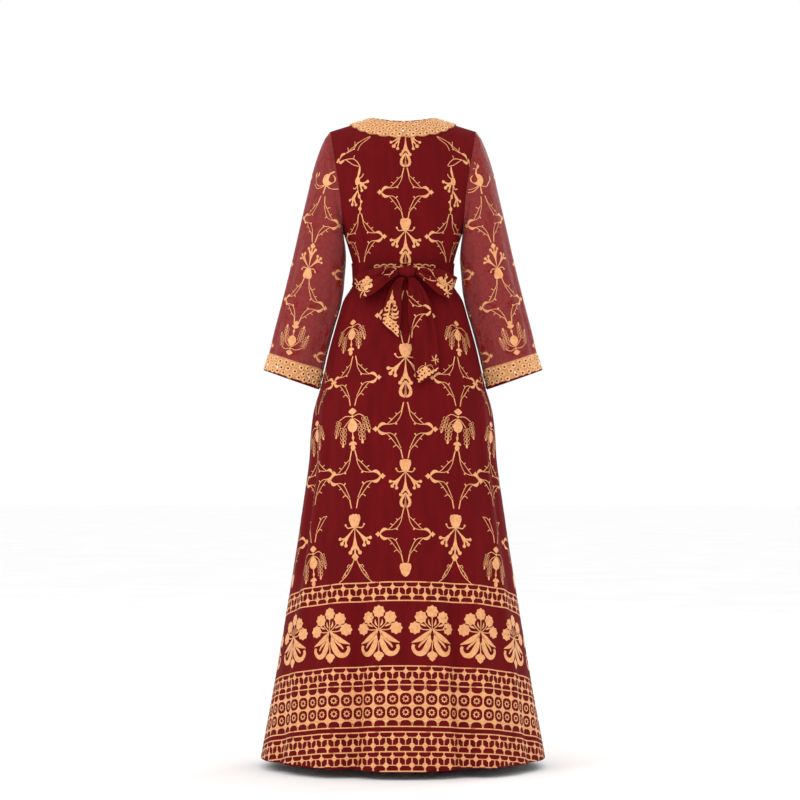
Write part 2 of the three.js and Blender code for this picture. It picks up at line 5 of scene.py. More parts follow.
import bpy
import numpy as np
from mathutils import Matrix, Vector


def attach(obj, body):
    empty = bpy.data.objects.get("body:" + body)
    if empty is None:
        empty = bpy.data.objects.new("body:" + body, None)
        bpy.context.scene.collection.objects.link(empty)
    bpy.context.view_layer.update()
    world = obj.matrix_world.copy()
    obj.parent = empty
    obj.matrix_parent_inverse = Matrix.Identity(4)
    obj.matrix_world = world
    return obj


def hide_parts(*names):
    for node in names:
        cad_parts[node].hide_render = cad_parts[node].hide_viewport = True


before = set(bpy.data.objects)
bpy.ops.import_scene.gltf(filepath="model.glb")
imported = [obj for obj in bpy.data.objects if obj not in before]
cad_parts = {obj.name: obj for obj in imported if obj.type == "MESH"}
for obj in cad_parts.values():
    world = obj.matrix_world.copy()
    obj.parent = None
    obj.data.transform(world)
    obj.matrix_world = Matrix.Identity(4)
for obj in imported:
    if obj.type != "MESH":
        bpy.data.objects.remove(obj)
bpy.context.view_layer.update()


# ---- Bodice -------------------------------------------------------------------------
# Front and back of the bodice: maroon polyester crepe, cut in one piece each, seamed at
# the shoulders and sides and bloused a little over the belt. Sizes are in millimetres.
NECK_HALF = 72
SHOULDER_HALF = 160
SHOULDER_SLOPE = 0.3
YOKE_Z = -170
UNDERARM_Z = -250
WAIST_Z = -352
ARMHOLE_YOKE_X = 137
ARMHOLE_LOW_X = 131
# Powers that square off the shoulder's round and the body's level section.
ROUND_OVER = 2.3
SECTION_POWER = 2.2
# How many degrees of the shoulder's round the neckline cuts away at its middle.
NECK_TURN = {"back": 31, "front": 61}
# Panels stand this far apart at a seam, too close for light to show between them.
SEAM = 0.04
CLOTH_WALL = 1.4

BODY = np.array([
    # height, half width, depth at the back, depth at the front
    (0, 166, 106, 100), (-120, 166, 107, 112), (-170, 158, 107, 126), (-209, 148, 104, 133),
    (-250, 131, 98, 127), (-290, 118, 89, 111), (-317, 111, 82, 99), (-341, 109, 79, 94),
    (-363, 110, 81, 94), (-396, 130, 101, 107), (-431, 141, 113, 115), (-466, 151, 122, 121),
    (-502, 161, 130, 126), (-551, 172, 139, 133), (-592, 182, 145, 139), (-640, 196, 153, 146),
    (-695, 203, 162, 155), (-748, 206, 170, 163), (-836, 218, 184, 177), (-924, 231, 197, 190),
    (-1100, 259, 223, 216), (-1276, 289, 248, 241), (-1408, 312, 266, 259),
], dtype=float)

# Soft creases of the bodice: the two ends of each on the cut cloth, its width and height.
BODICE_CREASES = {
    "back": (
        (-62, 4, -58, 62, 5, 1.6), (-81, 2, -84, 74, 6, -1.8), (-99, 0, -112, 88, 6, 1.8),
        (66, 3, 60, 70, 5, 1.5), (84, 2, 90, 66, 6, -1.7), (102, 0, 114, 92, 6, 1.9),
        (-20, 0, -17, 38, 5, -1.0), (27, 0, 22, 44, 5, -1.1), (-128, 92, -92, 132, 8, -1.8),
        (130, 94, 96, 138, 8, -1.7), (-118, 148, -96, 196, 9, 1.4), (120, 150, 97, 190, 9, 1.3),
    ),
    "front": (
        (-58, 2, -52, 70, 6, 1.7), (-82, 2, -88, 76, 6, -1.9), (-101, 0, -115, 84, 6, 1.7),
        (61, 2, 57, 64, 6, 1.6), (86, 2, 91, 78, 6, -1.8), (104, 0, 117, 90, 6, 1.8),
        (-24, 0, -22, 48, 6, -1.2), (19, 0, 20, 40, 5, -1.0), (-132, 96, -90, 140, 9, -2.0),
        (134, 94, 92, 134, 9, -1.9),
    ),
}


def curve_through(table, at):
    """Every column of a table but its first, on a smooth curve through the first column."""
    table = np.asarray(table, dtype=float)
    if table[0, 0] > table[-1, 0]:
        table = table[::-1]
    keys, rows = table[:, 0], table[:, 1:]
    last = len(keys) - 1
    low = np.clip(np.arange(last + 1) - 1, 0, last)
    high = np.clip(np.arange(last + 1) + 1, 0, last)
    slopes = (rows[high] - rows[low]) / (keys[high] - keys[low])[:, None]
    at = np.asarray(at, dtype=float)
    i = np.clip(np.searchsorted(keys, at) - 1, 0, last - 1)
    step = (keys[i + 1] - keys[i])[..., None]
    t = np.clip((at - keys[i])[..., None] / step, 0, 1)
    ends = rows[i] * (1 + 2 * t) * (1 - t) ** 2 + rows[i + 1] * (3 - 2 * t) * t**2
    return ends + (slopes[i] * (1 - t) - slopes[i + 1] * t) * t * (1 - t) * step


def ramp(at, start, full):
    t = np.clip((at - start) / (full - start), 0, 1)
    return t * t * (3 - 2 * t)


def section(z, side):
    """Half width and depth of the body's level section at a height."""
    half_width, back, front = np.moveaxis(curve_through(BODY, z), -1, 0)
    return half_width, back if side == "back" else front


def section_share(x, half_width):
    inside = 1 - np.clip(np.abs(x) / half_width, 0, 1) ** SECTION_POWER
    return np.clip(inside, 0, None) ** (1 / SECTION_POWER)


def armhole_x(z, rise):
    low = ARMHOLE_LOW_X + (z - UNDERARM_Z) / (YOKE_Z - UNDERARM_Z) * (
        ARMHOLE_YOKE_X - ARMHOLE_LOW_X)
    return np.where(z > YOKE_Z, ARMHOLE_YOKE_X + (SHOULDER_HALF - ARMHOLE_YOKE_X) * rise, low)


def yoke_point(x, turn, side):
    """Point of the rounded yoke: turn is 0 at the yoke height, a quarter turn at the seam."""
    sign = 1 if side == "back" else -1
    out = np.abs(x)
    inside_neck = 0.5 * SHOULDER_SLOPE * NECK_HALF * (1 - (out / NECK_HALF) ** 2)
    shoulder = np.where(out >= NECK_HALF, -SHOULDER_SLOPE * (out - NECK_HALF), inside_neck)
    z = YOKE_Z + (shoulder - YOKE_Z) * np.sin(turn) ** (2 / ROUND_OVER)
    half_width, depth = section(z, side)
    y = depth * section_share(x, half_width) * np.clip(np.cos(turn), 0, None) ** (2 / ROUND_OVER)
    return np.stack([x, sign * (y + SEAM / 2), z], axis=-1)


def neck_turn(share, side):
    """How far a column of the bodice turns over the shoulder before the neckline ends it."""
    out = np.abs(share) * SHOULDER_HALF
    cut = math.radians(NECK_TURN[side])
    return math.pi / 2 - cut * np.sqrt(np.clip(1 - (out / NECK_HALF) ** 2, 0, None))


def lower_bodice(share, z, side):
    sign = 1 if side == "back" else -1
    share, z = np.broadcast_arrays(share, z)
    half_width, depth = section(z, side)
    x = share * np.where(z > UNDERARM_Z, armhole_x(z, 0), half_width)
    return np.stack([x, sign * (depth * section_share(x, half_width) + SEAM / 2), z], axis=-1)


def upper_bodice(share, part, side):
    share, part = np.broadcast_arrays(share, part)
    turn = part * neck_turn(share, side)
    x = share * armhole_x(0.0, np.sin(turn) ** (2 / ROUND_OVER))
    return yoke_point(x, turn, side)


def bodice_points(side):
    """Grid of the bodice, rows from the waist up and columns to the right seen from outside."""
    half_turn = math.asin((NECK_HALF / SHOULDER_HALF) ** (SECTION_POWER / 2))
    turns = np.concatenate([np.linspace(0, half_turn, 15),
                            np.linspace(half_turn, math.pi / 2, 27)[1:]])
    shares = np.sin(turns) ** (2 / SECTION_POWER)
    shares = np.concatenate([-shares[:0:-1], shares]) * (-1 if side == "back" else 1)
    low_z = np.linspace(WAIST_Z, YOKE_Z, 46)
    low = lower_bodice(shares[None, :], low_z[:, None], side)
    high = upper_bodice(shares[None, :], np.linspace(0, 1, 31)[1:, None], side)
    return np.concatenate([low, high])


def outward_normals(points, wraps=False):
    """Outward direction at each point of a grid whose columns run right and rows run up."""
    if wraps:
        across = np.roll(points, -1, axis=1) - np.roll(points, 1, axis=1)
    else:
        across = np.gradient(points, axis=1)
    normal = np.cross(across, np.gradient(points, axis=0))
    return normal / np.maximum(np.linalg.norm(normal, axis=2, keepdims=True), 1e-9)


def lengths_along(points, axis):
    total = np.cumsum(np.linalg.norm(np.diff(points, axis=axis), axis=2), axis=axis)
    return np.concatenate([np.zeros_like(np.take(total, [0], axis=axis)), total], axis=axis)


# Shares of a crease's length between which it rises, and between which it fades.
CREASE_RISES = (-0.05, 0.35)
CREASE_FADES = (0.6, 1.05)


def creased(points, flat, table, wraps=False):
    """The grid with the listed creases, each a ridge or a valley along a line on the cloth."""
    u, v = flat[:, :points.shape[1], 0], flat[:, :points.shape[1], 1]
    height = np.zeros(u.shape)
    for u0, v0, u1, v1, width, tall in table:
        length = math.hypot(u1 - u0, v1 - v0)
        along = ((u - u0) * (u1 - u0) + (v - v0) * (v1 - v0)) / length**2
        away = ((u - u0) * (v1 - v0) - (v - v0) * (u1 - u0)) / length
        window = ramp(along, *CREASE_RISES) * (1 - ramp(along, *CREASE_FADES))
        height += tall * window * np.exp(-((away / width) ** 2))
    return points + outward_normals(points, wraps) * height[:, :, None]


def placed(name, data):
    piece = bpy.data.objects.new(name, data)
    bpy.context.scene.collection.objects.link(piece)
    return piece


def cloth_sheet(name, points, flat, wraps=False):
    """Cloth as one smooth sheet. Its map "flat" is where each point lies on the cut cloth."""
    rows, columns = points.shape[:2]
    r, c = np.meshgrid(np.arange(rows - 1), np.arange(columns if wraps else columns - 1),
                       indexing="ij")
    right = (c + 1) % columns
    quads = np.stack([r * columns + c, r * columns + right,
                      (r + 1) * columns + right, (r + 1) * columns + c], axis=-1)
    mesh = bpy.data.meshes.new(name)
    mesh.from_pydata((points.reshape(-1, 3) / 1000).tolist(), [], quads.reshape(-1, 4).tolist())
    corners = np.stack([flat[r, c], flat[r, c + 1], flat[r + 1, c + 1], flat[r + 1, c]], axis=2)
    layer = mesh.uv_layers.new(name="flat")
    layer.data.foreach_set("uv", (corners.reshape(-1) / 1000).astype(np.float32))
    mesh.shade_smooth()
    return placed(name, mesh)


def finish_cloth(piece, node, wall=None, offset=-1):
    """Hides the CAD part that a finished sheet stands for, and gives it a wall if it has one. At
    the offset -1 the wall grows inwards, so that the outside stays in place."""
    if wall:
        solid = piece.modifiers.new("wall", "SOLIDIFY")
        solid.thickness = wall / 1000
        solid.offset = offset
        solid.use_even_offset = True
    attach(piece, "root")
    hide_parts(node)


def colour(code):
    """Scene colour of a display colour written as six hex digits."""
    parts = [int(code[i:i + 2], 16) / 255 for i in (0, 2, 4)]
    return [p / 12.92 if p <= 0.04045 else ((p + 0.055) / 1.055) ** 2.4 for p in parts] + [1]


def add_node(tree, kind, settings=None, inputs=None):
    node = tree.nodes.new(kind)
    for key, value in (settings or {}).items():
        setattr(node, key, value)
    for key, value in (inputs or {}).items():
        if isinstance(value, bpy.types.NodeSocket):
            tree.links.new(value, node.inputs[key])
        else:
            node.inputs[key].default_value = value
    return node


def new_material(name):
    material = bpy.data.materials.new(name)
    material.use_nodes = True
    tree = material.node_tree
    tree.nodes.clear()
    return material, tree, add_node(tree, "ShaderNodeTexCoord").outputs["Object"]


def finish_material(tree, inputs):
    shader = add_node(tree, "ShaderNodeBsdfPrincipled", inputs=inputs)
    add_node(tree, "ShaderNodeOutputMaterial", inputs={"Surface": shader.outputs[0]})


def noise(tree, place, scale, detail=2.0):
    return add_node(tree, "ShaderNodeTexNoise",
                    inputs={"Vector": place, "Scale": scale, "Detail": detail})


def bumps(tree, height, strength, distance):
    return add_node(tree, "ShaderNodeBump", inputs={
        "Height": height, "Strength": strength, "Distance": distance}).outputs[0]


def two_colours(tree, factor, first, second, low=0.3, high=0.7):
    fade = add_node(tree, "ShaderNodeValToRGB", inputs={"Fac": factor})
    for stop, place, code in zip(fade.color_ramp.elements, (low, high), (first, second)):
        stop.position = place
        stop.color = colour(code)
    return fade.outputs["Color"]


def crepe(name, dark, light):
    """Woven polyester crepe: matt, pebbled, with faint upright slubs and a soft dry sheen."""
    material, tree, place = new_material(name)
    slubs = add_node(tree, "ShaderNodeMapping", inputs={"Vector": place, "Scale": (48, 48, 7)})
    cloudy = noise(tree, slubs.outputs[0], 1.0, 3.0)
    # Crepe yarns are about 0.25 mm; they are drawn four times as coarse so that they show.
    pebble = add_node(tree, "ShaderNodeTexVoronoi", inputs={"Vector": place, "Scale": 950.0})
    yarn = noise(tree, place, 700.0)
    height = add_node(tree, "ShaderNodeMath", {"operation": "ADD"},
                      {0: pebble.outputs["Distance"], 1: yarn.outputs["Fac"]})
    finish_material(tree, {
        "Base Color": two_colours(tree, cloudy.outputs["Fac"], dark, light),
        "Roughness": 0.85, "Normal": bumps(tree, height.outputs[0], 0.3, 0.0005),
        "Specular IOR Level": 0.1, "Sheen Weight": 0.08, "Sheen Roughness": 0.5,
        "Sheen Tint": colour("b03038")})
    return material


maroon_crepe = crepe("maroon_polyester_crepe", "5d060a", "6b090f")


def gold_print(name):
    """Gold pigment printed on cloth: a matt warm gold, mottled where the weave shows."""
    material, tree, place = new_material(name)
    mottle = noise(tree, place, 150.0, 3.0)
    weave = noise(tree, place, 900.0, 1.0)
    finish_material(tree, {
        "Base Color": two_colours(tree, mottle.outputs["Fac"], "d7905e", "eead71"),
        "Roughness": 0.5, "Metallic": 0.15,
        "Normal": bumps(tree, weave.outputs["Fac"], 0.25, 0.0004)})
    return material


gold_pigment = gold_print("gold_pigment_print")


LINE_STEP = 4.5  # length of a quad of a drawn line, short enough to follow the folds


def strip(upper, lower, closed=False):
    """Quads between two rows of as many points, all the way round if they are closed."""
    n = len(upper)
    return np.concatenate([upper, lower]), [(i, (i + 1) % n, n + (i + 1) % n, n + i)
                                            for i in range(n if closed else n - 1)]


def line(widths, *points):
    """A drawn line as a strip of quads along a smooth curve, as wide as its widths say."""
    points = np.asarray(points, dtype=float)
    keys = np.concatenate([[0], np.cumsum(np.hypot(*np.diff(points, axis=0).T))])
    widths = np.broadcast_to(np.asarray(widths, dtype=float), len(points))
    table = np.column_stack([keys, points, widths])
    at = np.linspace(0, keys[-1], max(2, int(keys[-1] / LINE_STEP) + 2))
    x, y, wide = curve_through(table, at).T
    way = np.stack([np.gradient(x), np.gradient(y)], axis=1)
    way /= np.linalg.norm(way, axis=1, keepdims=True)
    out = np.stack([-way[:, 1], way[:, 0]], axis=1) * wide[:, None] / 2
    middle = np.stack([x, y], axis=1)
    return strip(middle + out, middle - out)


def shape(*outline):
    """A filled figure: a fan of faces from the middle of its outline."""
    outline = np.asarray(outline, dtype=float)
    n = len(outline)
    return np.concatenate([outline, [outline.mean(axis=0)]]), [(i, (i + 1) % n, n)
                                                               for i in range(n)]


def round_shape(x, y, wide, tall=None, lobes=0, deep=0.0, sides=8):
    turn = np.arange(sides) * 2 * math.pi / sides
    reach = 1 + deep * np.cos(lobes * turn) if lobes else np.ones(sides)
    return shape(*zip(x + wide * reach * np.sin(turn), y + (tall or wide) * reach * np.cos(turn)))


def loop(x, y, wide, tall, line_width, sides=10):
    """A closed ring drawn with one line."""
    turn = np.arange(sides) * 2 * math.pi / sides
    rim = np.stack([np.sin(turn), np.cos(turn)], axis=1)
    verts, faces = strip(rim * (wide, tall), rim * (wide - line_width, tall - line_width), True)
    return verts + (x, y), faces


def mirrored(strokes):
    return [(verts * (-1, 1), faces) for verts, faces in strokes]


def both(strokes):
    return strokes + mirrored(strokes)


# The print's figures, drawn flat in millimetres, x to the right and y up the cloth. Its
# plain flower, leaf and scroll shapes follow the photo's kind and sizes and none is traced.
CLASP = [  # the cluster of two leaves and a four-petalled knob where two ogee lines meet
    line((1.5, 6.4, 5.6, 2.6), (-37, 9.4), (-44, 11), (-50, 7.5), (-54, 1.4)),
    line((1.5, 6.4, 5.6, 2.6), (-37, -8.6), (-44, -10), (-50, -6.8), (-54, -1)),
    round_shape(-58.5, 0.4, 4.8, 4.8, 4, 0.28, 12),
]
OGEE_TOP = [
    line((2.4, 2.6), (-3.7, 55), (-7.6, 37.6)),
    line(1.5, (-7.8, 37.2), (-15, 31.2), (-25, 20.5), (-34, 11.5), (-39, 9.4)),
    line(1.5, (-6.6, 38), (-10, 26), (-18.4, 12.8), (-28, 9.6), (-38, 9.4)),
    round_shape(-18.0, 10.2, 2.1), line(1.6, (-15.5, 29.5), (-20, 33)),
    line(1.6, (-26.6, 19.2), (-32.3, 22.5)),
]
OGEE_FOOT = [
    line(1.5, (-39, -8.6), (-35, -11.6), (-26.6, -21.4), (-17.6, -33.6), (-9.4, -43.7)),
    line(1.5, (-38, -8.6), (-28, -9.4), (-20.3, -15.4), (-14.2, -27.5), (-8.6, -40.4)),
    line((2, 3), (-21.5, -14.5), (-18.2, -9.6)), line(1.6, (-27, -19), (-32.5, -22)),
    line(1.7, (-13.4, -37.2), (-19.1, -34.4), (-24.4, -38.5)),
    line((2.4, 2.2), (-9, -43), (-5.3, -61.5)),
]
BUD = [shape(
    (0, -1.2), (-3.5, 0), (-6, -1.8), (-9.5, -1.6), (-11.4, -5), (-11.8, -10), (-10.8, -14.6),
    (-9.4, -17), (-9, -20), (-6.6, -24), (-3.4, -27.4), (0, -29), (3.4, -27.4), (6.6, -24),
    (9, -20), (9.4, -17), (10.8, -14.6), (11.8, -10), (11.4, -5), (9.5, -1.6), (6, -1.8),
    (3.5, 0))]
FAN = both([
    line(2.2, (0, -26), (-8, -26.7), (-14.5, -27.5), (-18.6, -21.8)), round_shape(-18.8, -21, 2.2),
    line((1.8, 3.5, 9.5), (-1.5, -29), (-11, -40), (-20, -51)),
    round_shape(-31, -47.6, 3.5), line((3, 3.6), (-21, -48), (-30, -47.8)),
    round_shape(-27, -57.5, 3.9), line((4, 3.6), (-22, -50), (-27, -57)),
    round_shape(-18.3, -61.5, 3.6), line((4, 3.2), (-19, -50), (-18.3, -60)),
])
SPEAR = [line((1.4, 2, 5, 13), (0, -29), (0, -40), (0, -53), (0, -68))] + both([
    round_shape(-9.4, -75.6, 3.9), line((6, 3.4), (-4, -66), (-9, -75))])
ONION = both([
    line((3, 5.4, 5.6), (0, -72), (-6, -82), (-9.4, -90)),
    line((5.6, 6, 3), (-9.4, -90), (-8, -98), (-1, -103)),
    line((2.5, 2.8, 7), (0, -74), (0, -90), (0, -103)),
])
KNOB = [round_shape(0, -84, 6, 7, 4, 0.15, 12), line(3, (0, -66), (0, -80))]
EAR = [loop(x, y, 3.5, 4.2, 1.1, 8) for x, y in (
    (-4.2, -4), (4.2, -6), (-4.3, -13), (4.3, -15), (-4.0, -22), (4.0, -24), (-3.4, -30.5),
    (3.4, -32))] + [round_shape(0, -38.5, 2.8, 4.4), line(1.0, (0, 0), (0, -35))]


def moved(strokes, x, y, turn=0.0, size=1.0):
    c, s = math.cos(math.radians(turn)) * size, math.sin(math.radians(turn)) * size
    return [(verts @ np.array([(c, s), (-s, c)]) + (x, y), faces) for verts, faces in strokes]


WHEAT = (
    [round_shape(0, 0, 7.8, 6.4, 4, 0.14, 12), round_shape(0, -10.5, 2.6),
     shape((0, -13.5), (-5.5, -20), (-10, -27), (-10.6, -33), (-7.5, -40), (-2, -43.6),
           (2, -43.6), (7.5, -40), (10.6, -33), (10, -27), (5.5, -20)),
     line(1.7, (-1.5, -10.7), (-15, -9.4), (-30, -17.5)),
     line(1.7, (1.5, -10.7), (14, -6.5), (24, -12)),
     line(1.7, (-2.5, -15), (-10, -22), (-18.5, -32)), line(1.7, (3, -15), (10, -19), (17.7, -26)),
     line((2, 2.6, 2), (0, -43), (0.5, -53), (1, -64)), round_shape(0.6, -55, 2.8, 4.2),
     shape((-8.5, -70), (-8, -66), (-3, -62.6), (3, -62.6), (8, -66), (8.5, -70)),
     round_shape(0, -75.5, 5.4, 6.6)]
    + moved(EAR, -30, -17.5, -14, 0.86) + moved(EAR, -19.5, -32, -4, 0.98)
    + moved(EAR, 18, -26, 4, 1.0) + moved(EAR, 24, -12, 18, 0.86))
FLOWER = [round_shape(0, 0, 12.6, 12.6, 8, 0.1, 32)]
PALMETTE = (
    sum([moved(FLOWER, x, y) for x, y in ((0, 51.8), (-24.7, 39.5), (24.7, 39.5), (-37.5, 16.3),
                                          (37.5, 16.3))], [])
    + [line(2, (0, 14), (0, 42)), line(2.2, (0, -14), (0, -33)),
       shape((0, -29), (-3, -33.5), (-8.5, -36), (-11.6, -40), (-10.2, -44), (-7, -46), (-6, -50),
             (-2.5, -52), (0, -54.5), (2.5, -52), (6, -50), (7, -46), (10.2, -44), (11.6, -40),
             (8.5, -36), (3, -33.5))]
    + both([
        line(2, (-2, 14), (-13, 24), (-19, 32)), line(2, (-3, 13), (-18, 13), (-27, 15)),
        line((1, 4, 1), (-3, 21), (-7, 27), (-8, 35)),
        line((1, 4, 1), (-13, 20), (-20, 23), (-27, 25)),
        line((2, 9, 10, 1.2), (-2, 12.6), (-14, 2), (-26, -7), (-45, -15)),
        line((4, 12, 12, 9, 7, 6.4), (-5, 0), (-9.5, -19), (-21, -36.5), (-34, -37), (-42, -26),
             (-40, -19)),
        line((1.2, 4, 4.6, 2.4), (-4, 4), (-16, -10), (-25, -18), (-30, -25)),
        line(1.5, (0, 16), (-5, 0), (0, -15))]))
LATTICE = both([
    line(2.0, (-6, -11.5), (-13.85, -11.5)), line(2.0, (0, -29), (-7, -29)),
    line(1.8, (-13.85, -11), (-13.85, -23)), line((3.4, 2), (-13.85, -41), (-13.85, -35)),
    shape((-13.85, -21.8), (-21, -29), (-13.85, -36.2), (-6.7, -29)),
]) + [line(1.8, (0, -18), (0, -29)), line((3.4, 2), (0, 0), (0, -5.5)),
      shape((0, -4.4), (-7.1, -11.5), (0, -18.6), (7.1, -11.5))]


def round_and_square(turns):
    """The unit circle and the square round it, at the same turns."""
    circle = np.stack([np.sin(turns), np.cos(turns)], axis=1)
    return circle, circle / np.max(np.abs(circle), axis=1, keepdims=True)


def tile(half):
    """A gold tile pierced by a round hole, or the half tile that ends the row."""
    turns = np.radians(np.arange(0, 181 if half else 360, 22.5)) + (math.pi / 2 if half else 0)
    circle, square = round_and_square(turns)
    hole = circle * 12.5 * (1 + 0.1 * np.abs(np.sin(2 * turns)))[:, None]
    return strip(square * (13.9, 14.5 if half else 14.05), hole, not half)


def mesh_of_net(half, hole):
    """One mesh of a net: a square with a round hole."""
    circle, square = round_and_square(np.radians(np.arange(0, 360, 45)))
    return strip(square * half, circle * hole, True)


ROSETTE = [tile(False), loop(0, 0, 5.6, 5.6, 2.0, 16)] + [
    round_shape(6.2 * math.sin(a), 6.2 * math.cos(a), 1.5, sides=5)
    for a in np.radians(np.arange(0, 360, 45))]
HALF_ROSETTE = [tile(True)] + both([round_shape(-13.9, -5, 3.2, sides=6)])
BLOSSOM = (
    [line((2, 5, 4), (2, 32.6), (2.5, 22), (0, 8)), round_shape(0, 0, 5.8, 9.5),
     line(2, (4, 5), (10, 9), (12.6, 15.3)), line((2.5, 9), (0, -2), (15, -9)),
     round_shape(23.5, -2.5, 3.6), line(3.4, (13, -6), (22, -3)), round_shape(19.4, -15.3, 3.7),
     line(4, (12, -8), (19, -14)), round_shape(11.2, -21.4, 3.3), line((4, 3), (7, -8), (11, -20)),
     line(2, (0, -10), (-5, -17), (-9.6, -13.6)),
     line(2.2, (0.5, -9), (2, -22), (5, -33), (9, -45), (6, -60), (6, -72)),
     line((2, 9), (2, -20), (-11, -39)), round_shape(-18.4, -38.8, 3.3),
     line(3.4, (-10, -37), (-17, -38.5)), round_shape(-12.2, -49, 3.6),
     line(3.6, (-10, -39), (-12, -48)), round_shape(-3, -51, 3.2), line(3, (-7, -38), (-3.4, -49)),
     round_shape(5, -33, 3, 5), round_shape(9.6, -45, 3.2), round_shape(6, -60, 4, 4.6)])
SHOULDER_VINE = [
    line(1.6, (1, 6), (15.3, 12.2), (33.7, 26.5), (46, 36.7), (66.3, 47)),
    line(1.5, (17, 12), (31.6, 19.4), (40, 34.7)),
    line(1.5, (41.8, 14.3), (46, 26.5), (60, 38.8), (66.3, 45)), line(1.5, (19.4, 16), (17, 24.5)),
    round_shape(32.6, 18.6, 2), line(1.5, (33.7, 27), (32, 37)),
    line(1.6, (5, -3), (21.4, -2.4), (34, -3.6), (44, -11), (51, -20)),
    line(1.5, (15.3, -3), (26, -10.2), (37, -17.3), (49, -21)), line(1.5, (34, -4), (36, 4)),
    line((1.5, 6, 3), (0, 2), (4, 10), (12, 11.5)),
    line((2, 6.5, 2), (-2, -2), (4, -6.5), (12, -4)), round_shape(-5, 1, 4.2, 4.2, 4, 0.28, 12),
]
DROPS = both([
    line((6, 5, 2.4), (-13, 20), (-15, 4), (-24, -8)), round_shape(-25.5, -11, 4.4),
    line((6, 3, 2.4), (-13, 16), (-14, 2), (-17, -14)), round_shape(-17, -17, 3.6),
    line((5, 3, 2.2), (-15, 18), (-20, 5), (-29, -1)), round_shape(-31.6, -1.6, 3.4)])
DISC = [round_shape(0, 0, 10.6, 13, sides=12), line((2.4, 1.6, 3.2), (0, 12), (-13, 17), (-25, 8)),
        line(1.5, (2, 12), (17, 16), (28, 9), (31, 0)), line(1.5, (3, 14), (18, 22), (31, 14)),
        line((1, 4.6, 1), (31, 2), (33, -5), (31, -12)),
        line((1, 4, 1), (-25, 9), (-31, 3), (-31, -5)),
        line((1, 4, 1), (29, -1), (24, -7), (25, -13)), line((2.6, 3), (0, 12), (1, 30)),
        line((3.4, 1.6), (0, -12), (-4, -24)), line((1, 5, 1), (-4, -22), (-9, -28), (-8, -37)),
        line((1, 4, 1), (-4, -22), (0, -29), (-1, -35))]
SPLAY = both([line(1.7, (-1, 0), (-8, -20), (-20, -40), (-38, -56)),
              line(1.7, (-4, -12), (-18, -28), (-30, -46)),
              line(1.6, (-8, -20), (-15, -17), (-18, -23)), line(1.6, (-22, -42), (-24, -34)),
              round_shape(-18, -29, 1.8)]) + [round_shape(0, 1, 5, 5, 4, 0.2, 12)]
SPRAY = [line((1, 3.4, 1), (0, 0), (-6, 8), (-5, 18)), line((1, 3.6, 1), (0, 0), (5, 9), (12, 14)),
         line((1, 3.2, 1), (0, 0), (-10, 1), (-18, 6)),
         line((1, 3.4, 1), (0, 0), (8, -3), (16, -1)),
         line((1, 3, 1), (0, 0), (-8, -8), (-11, -17)), line((1, 3, 1), (0, 0), (3, -9), (9, -16)),
         round_shape(8, 9, 2.4), round_shape(-9, 3, 2.2), round_shape(1, -10, 2.2)]
POSY = [round_shape(x, y, 5.2, 4.6)
        for x, y in ((-6, 7), (2, 10), (-9, -2), (0, 1), (7, 3), (-3, -9), (6, -7))]
THORNY_VINE = [
    line(1.5, (0, 3), (12, 9), (27, 8), (44, 0)), line(1.5, (3, -5), (17, -9), (31, -7), (44, -2)),
    line(1.5, (12, 9), (14, 15)), line(1.5, (25, 8.6), (28, 14)), line(1.5, (16, -9), (17, -15)),
    line(1.5, (30, -7.4), (27, -2)), round_shape(0, 3, 2.2), round_shape(14, 15, 2),
    round_shape(17, -15, 2.1)]
ACANTHUS = both([
    line((1, 5.4, 2), (0, 36), (-7, 30), (-8, 22)),
    line((2, 5.6, 1.4), (-1, 12), (-11, 9), (-14, 18)),
    line((2, 6, 1.6), (-1, 2), (-14, -2), (-18, 7)),
    line((3, 6.4, 3), (0, -6), (-11, -11), (-19, -8)),
    line((4, 6, 3), (0, -15), (-9, -22), (-16, -21)), round_shape(-8.6, 20, 3),
    round_shape(-6, -2, 4)]) + [
    line((1, 3, 8, 5, 11, 8, 12, 9), (0, 62), (0, 50), (0, 40), (0, 33), (0, 22), (0, 8), (0, -8),
         (0, -22))]
SCALLOP_LINK = [loop(0, 0, 8.9, 4.8, 2.9, 12),
                line((2.4, 3.4, 2.4), (-8.6, -3.2), (0, -4.2), (8.6, -3.2))]
LACE = [mesh_of_net(5.0, 2.6)]

FIGURES = {
    "ogee": both(CLASP + OGEE_TOP + OGEE_FOOT), "vee": both(OGEE_FOOT[0:3] + OGEE_FOOT[4:]),
    "bud": BUD, "onion_bud": BUD + FAN + SPEAR + ONION, "spear_onion": SPEAR + ONION,
    "knob_bud": BUD + FAN + SPEAR + KNOB, "wheat": WHEAT, "wheat_turned": mirrored(WHEAT),
    "palmette": PALMETTE, "lattice": LATTICE, "rosette": ROSETTE, "half_rosette": HALF_ROSETTE,
    "blossom": BLOSSOM, "blossom_turned": mirrored(BLOSSOM), "shoulder_vine": SHOULDER_VINE,
    "shoulder_vine_turned": mirrored(SHOULDER_VINE), "drops": DROPS, "splay": SPLAY,
    "spray": SPRAY, "posy": POSY, "thorny_vine": THORNY_VINE, "disc": DISC, "acanthus": ACANTHUS,
    "scallop_link": SCALLOP_LINK, "lace": LACE,
    "stripe": [strip(*([(x, y) for x in np.arange(-60, 61, 5.0)] for y in (-1.3, 1.3)))],
}


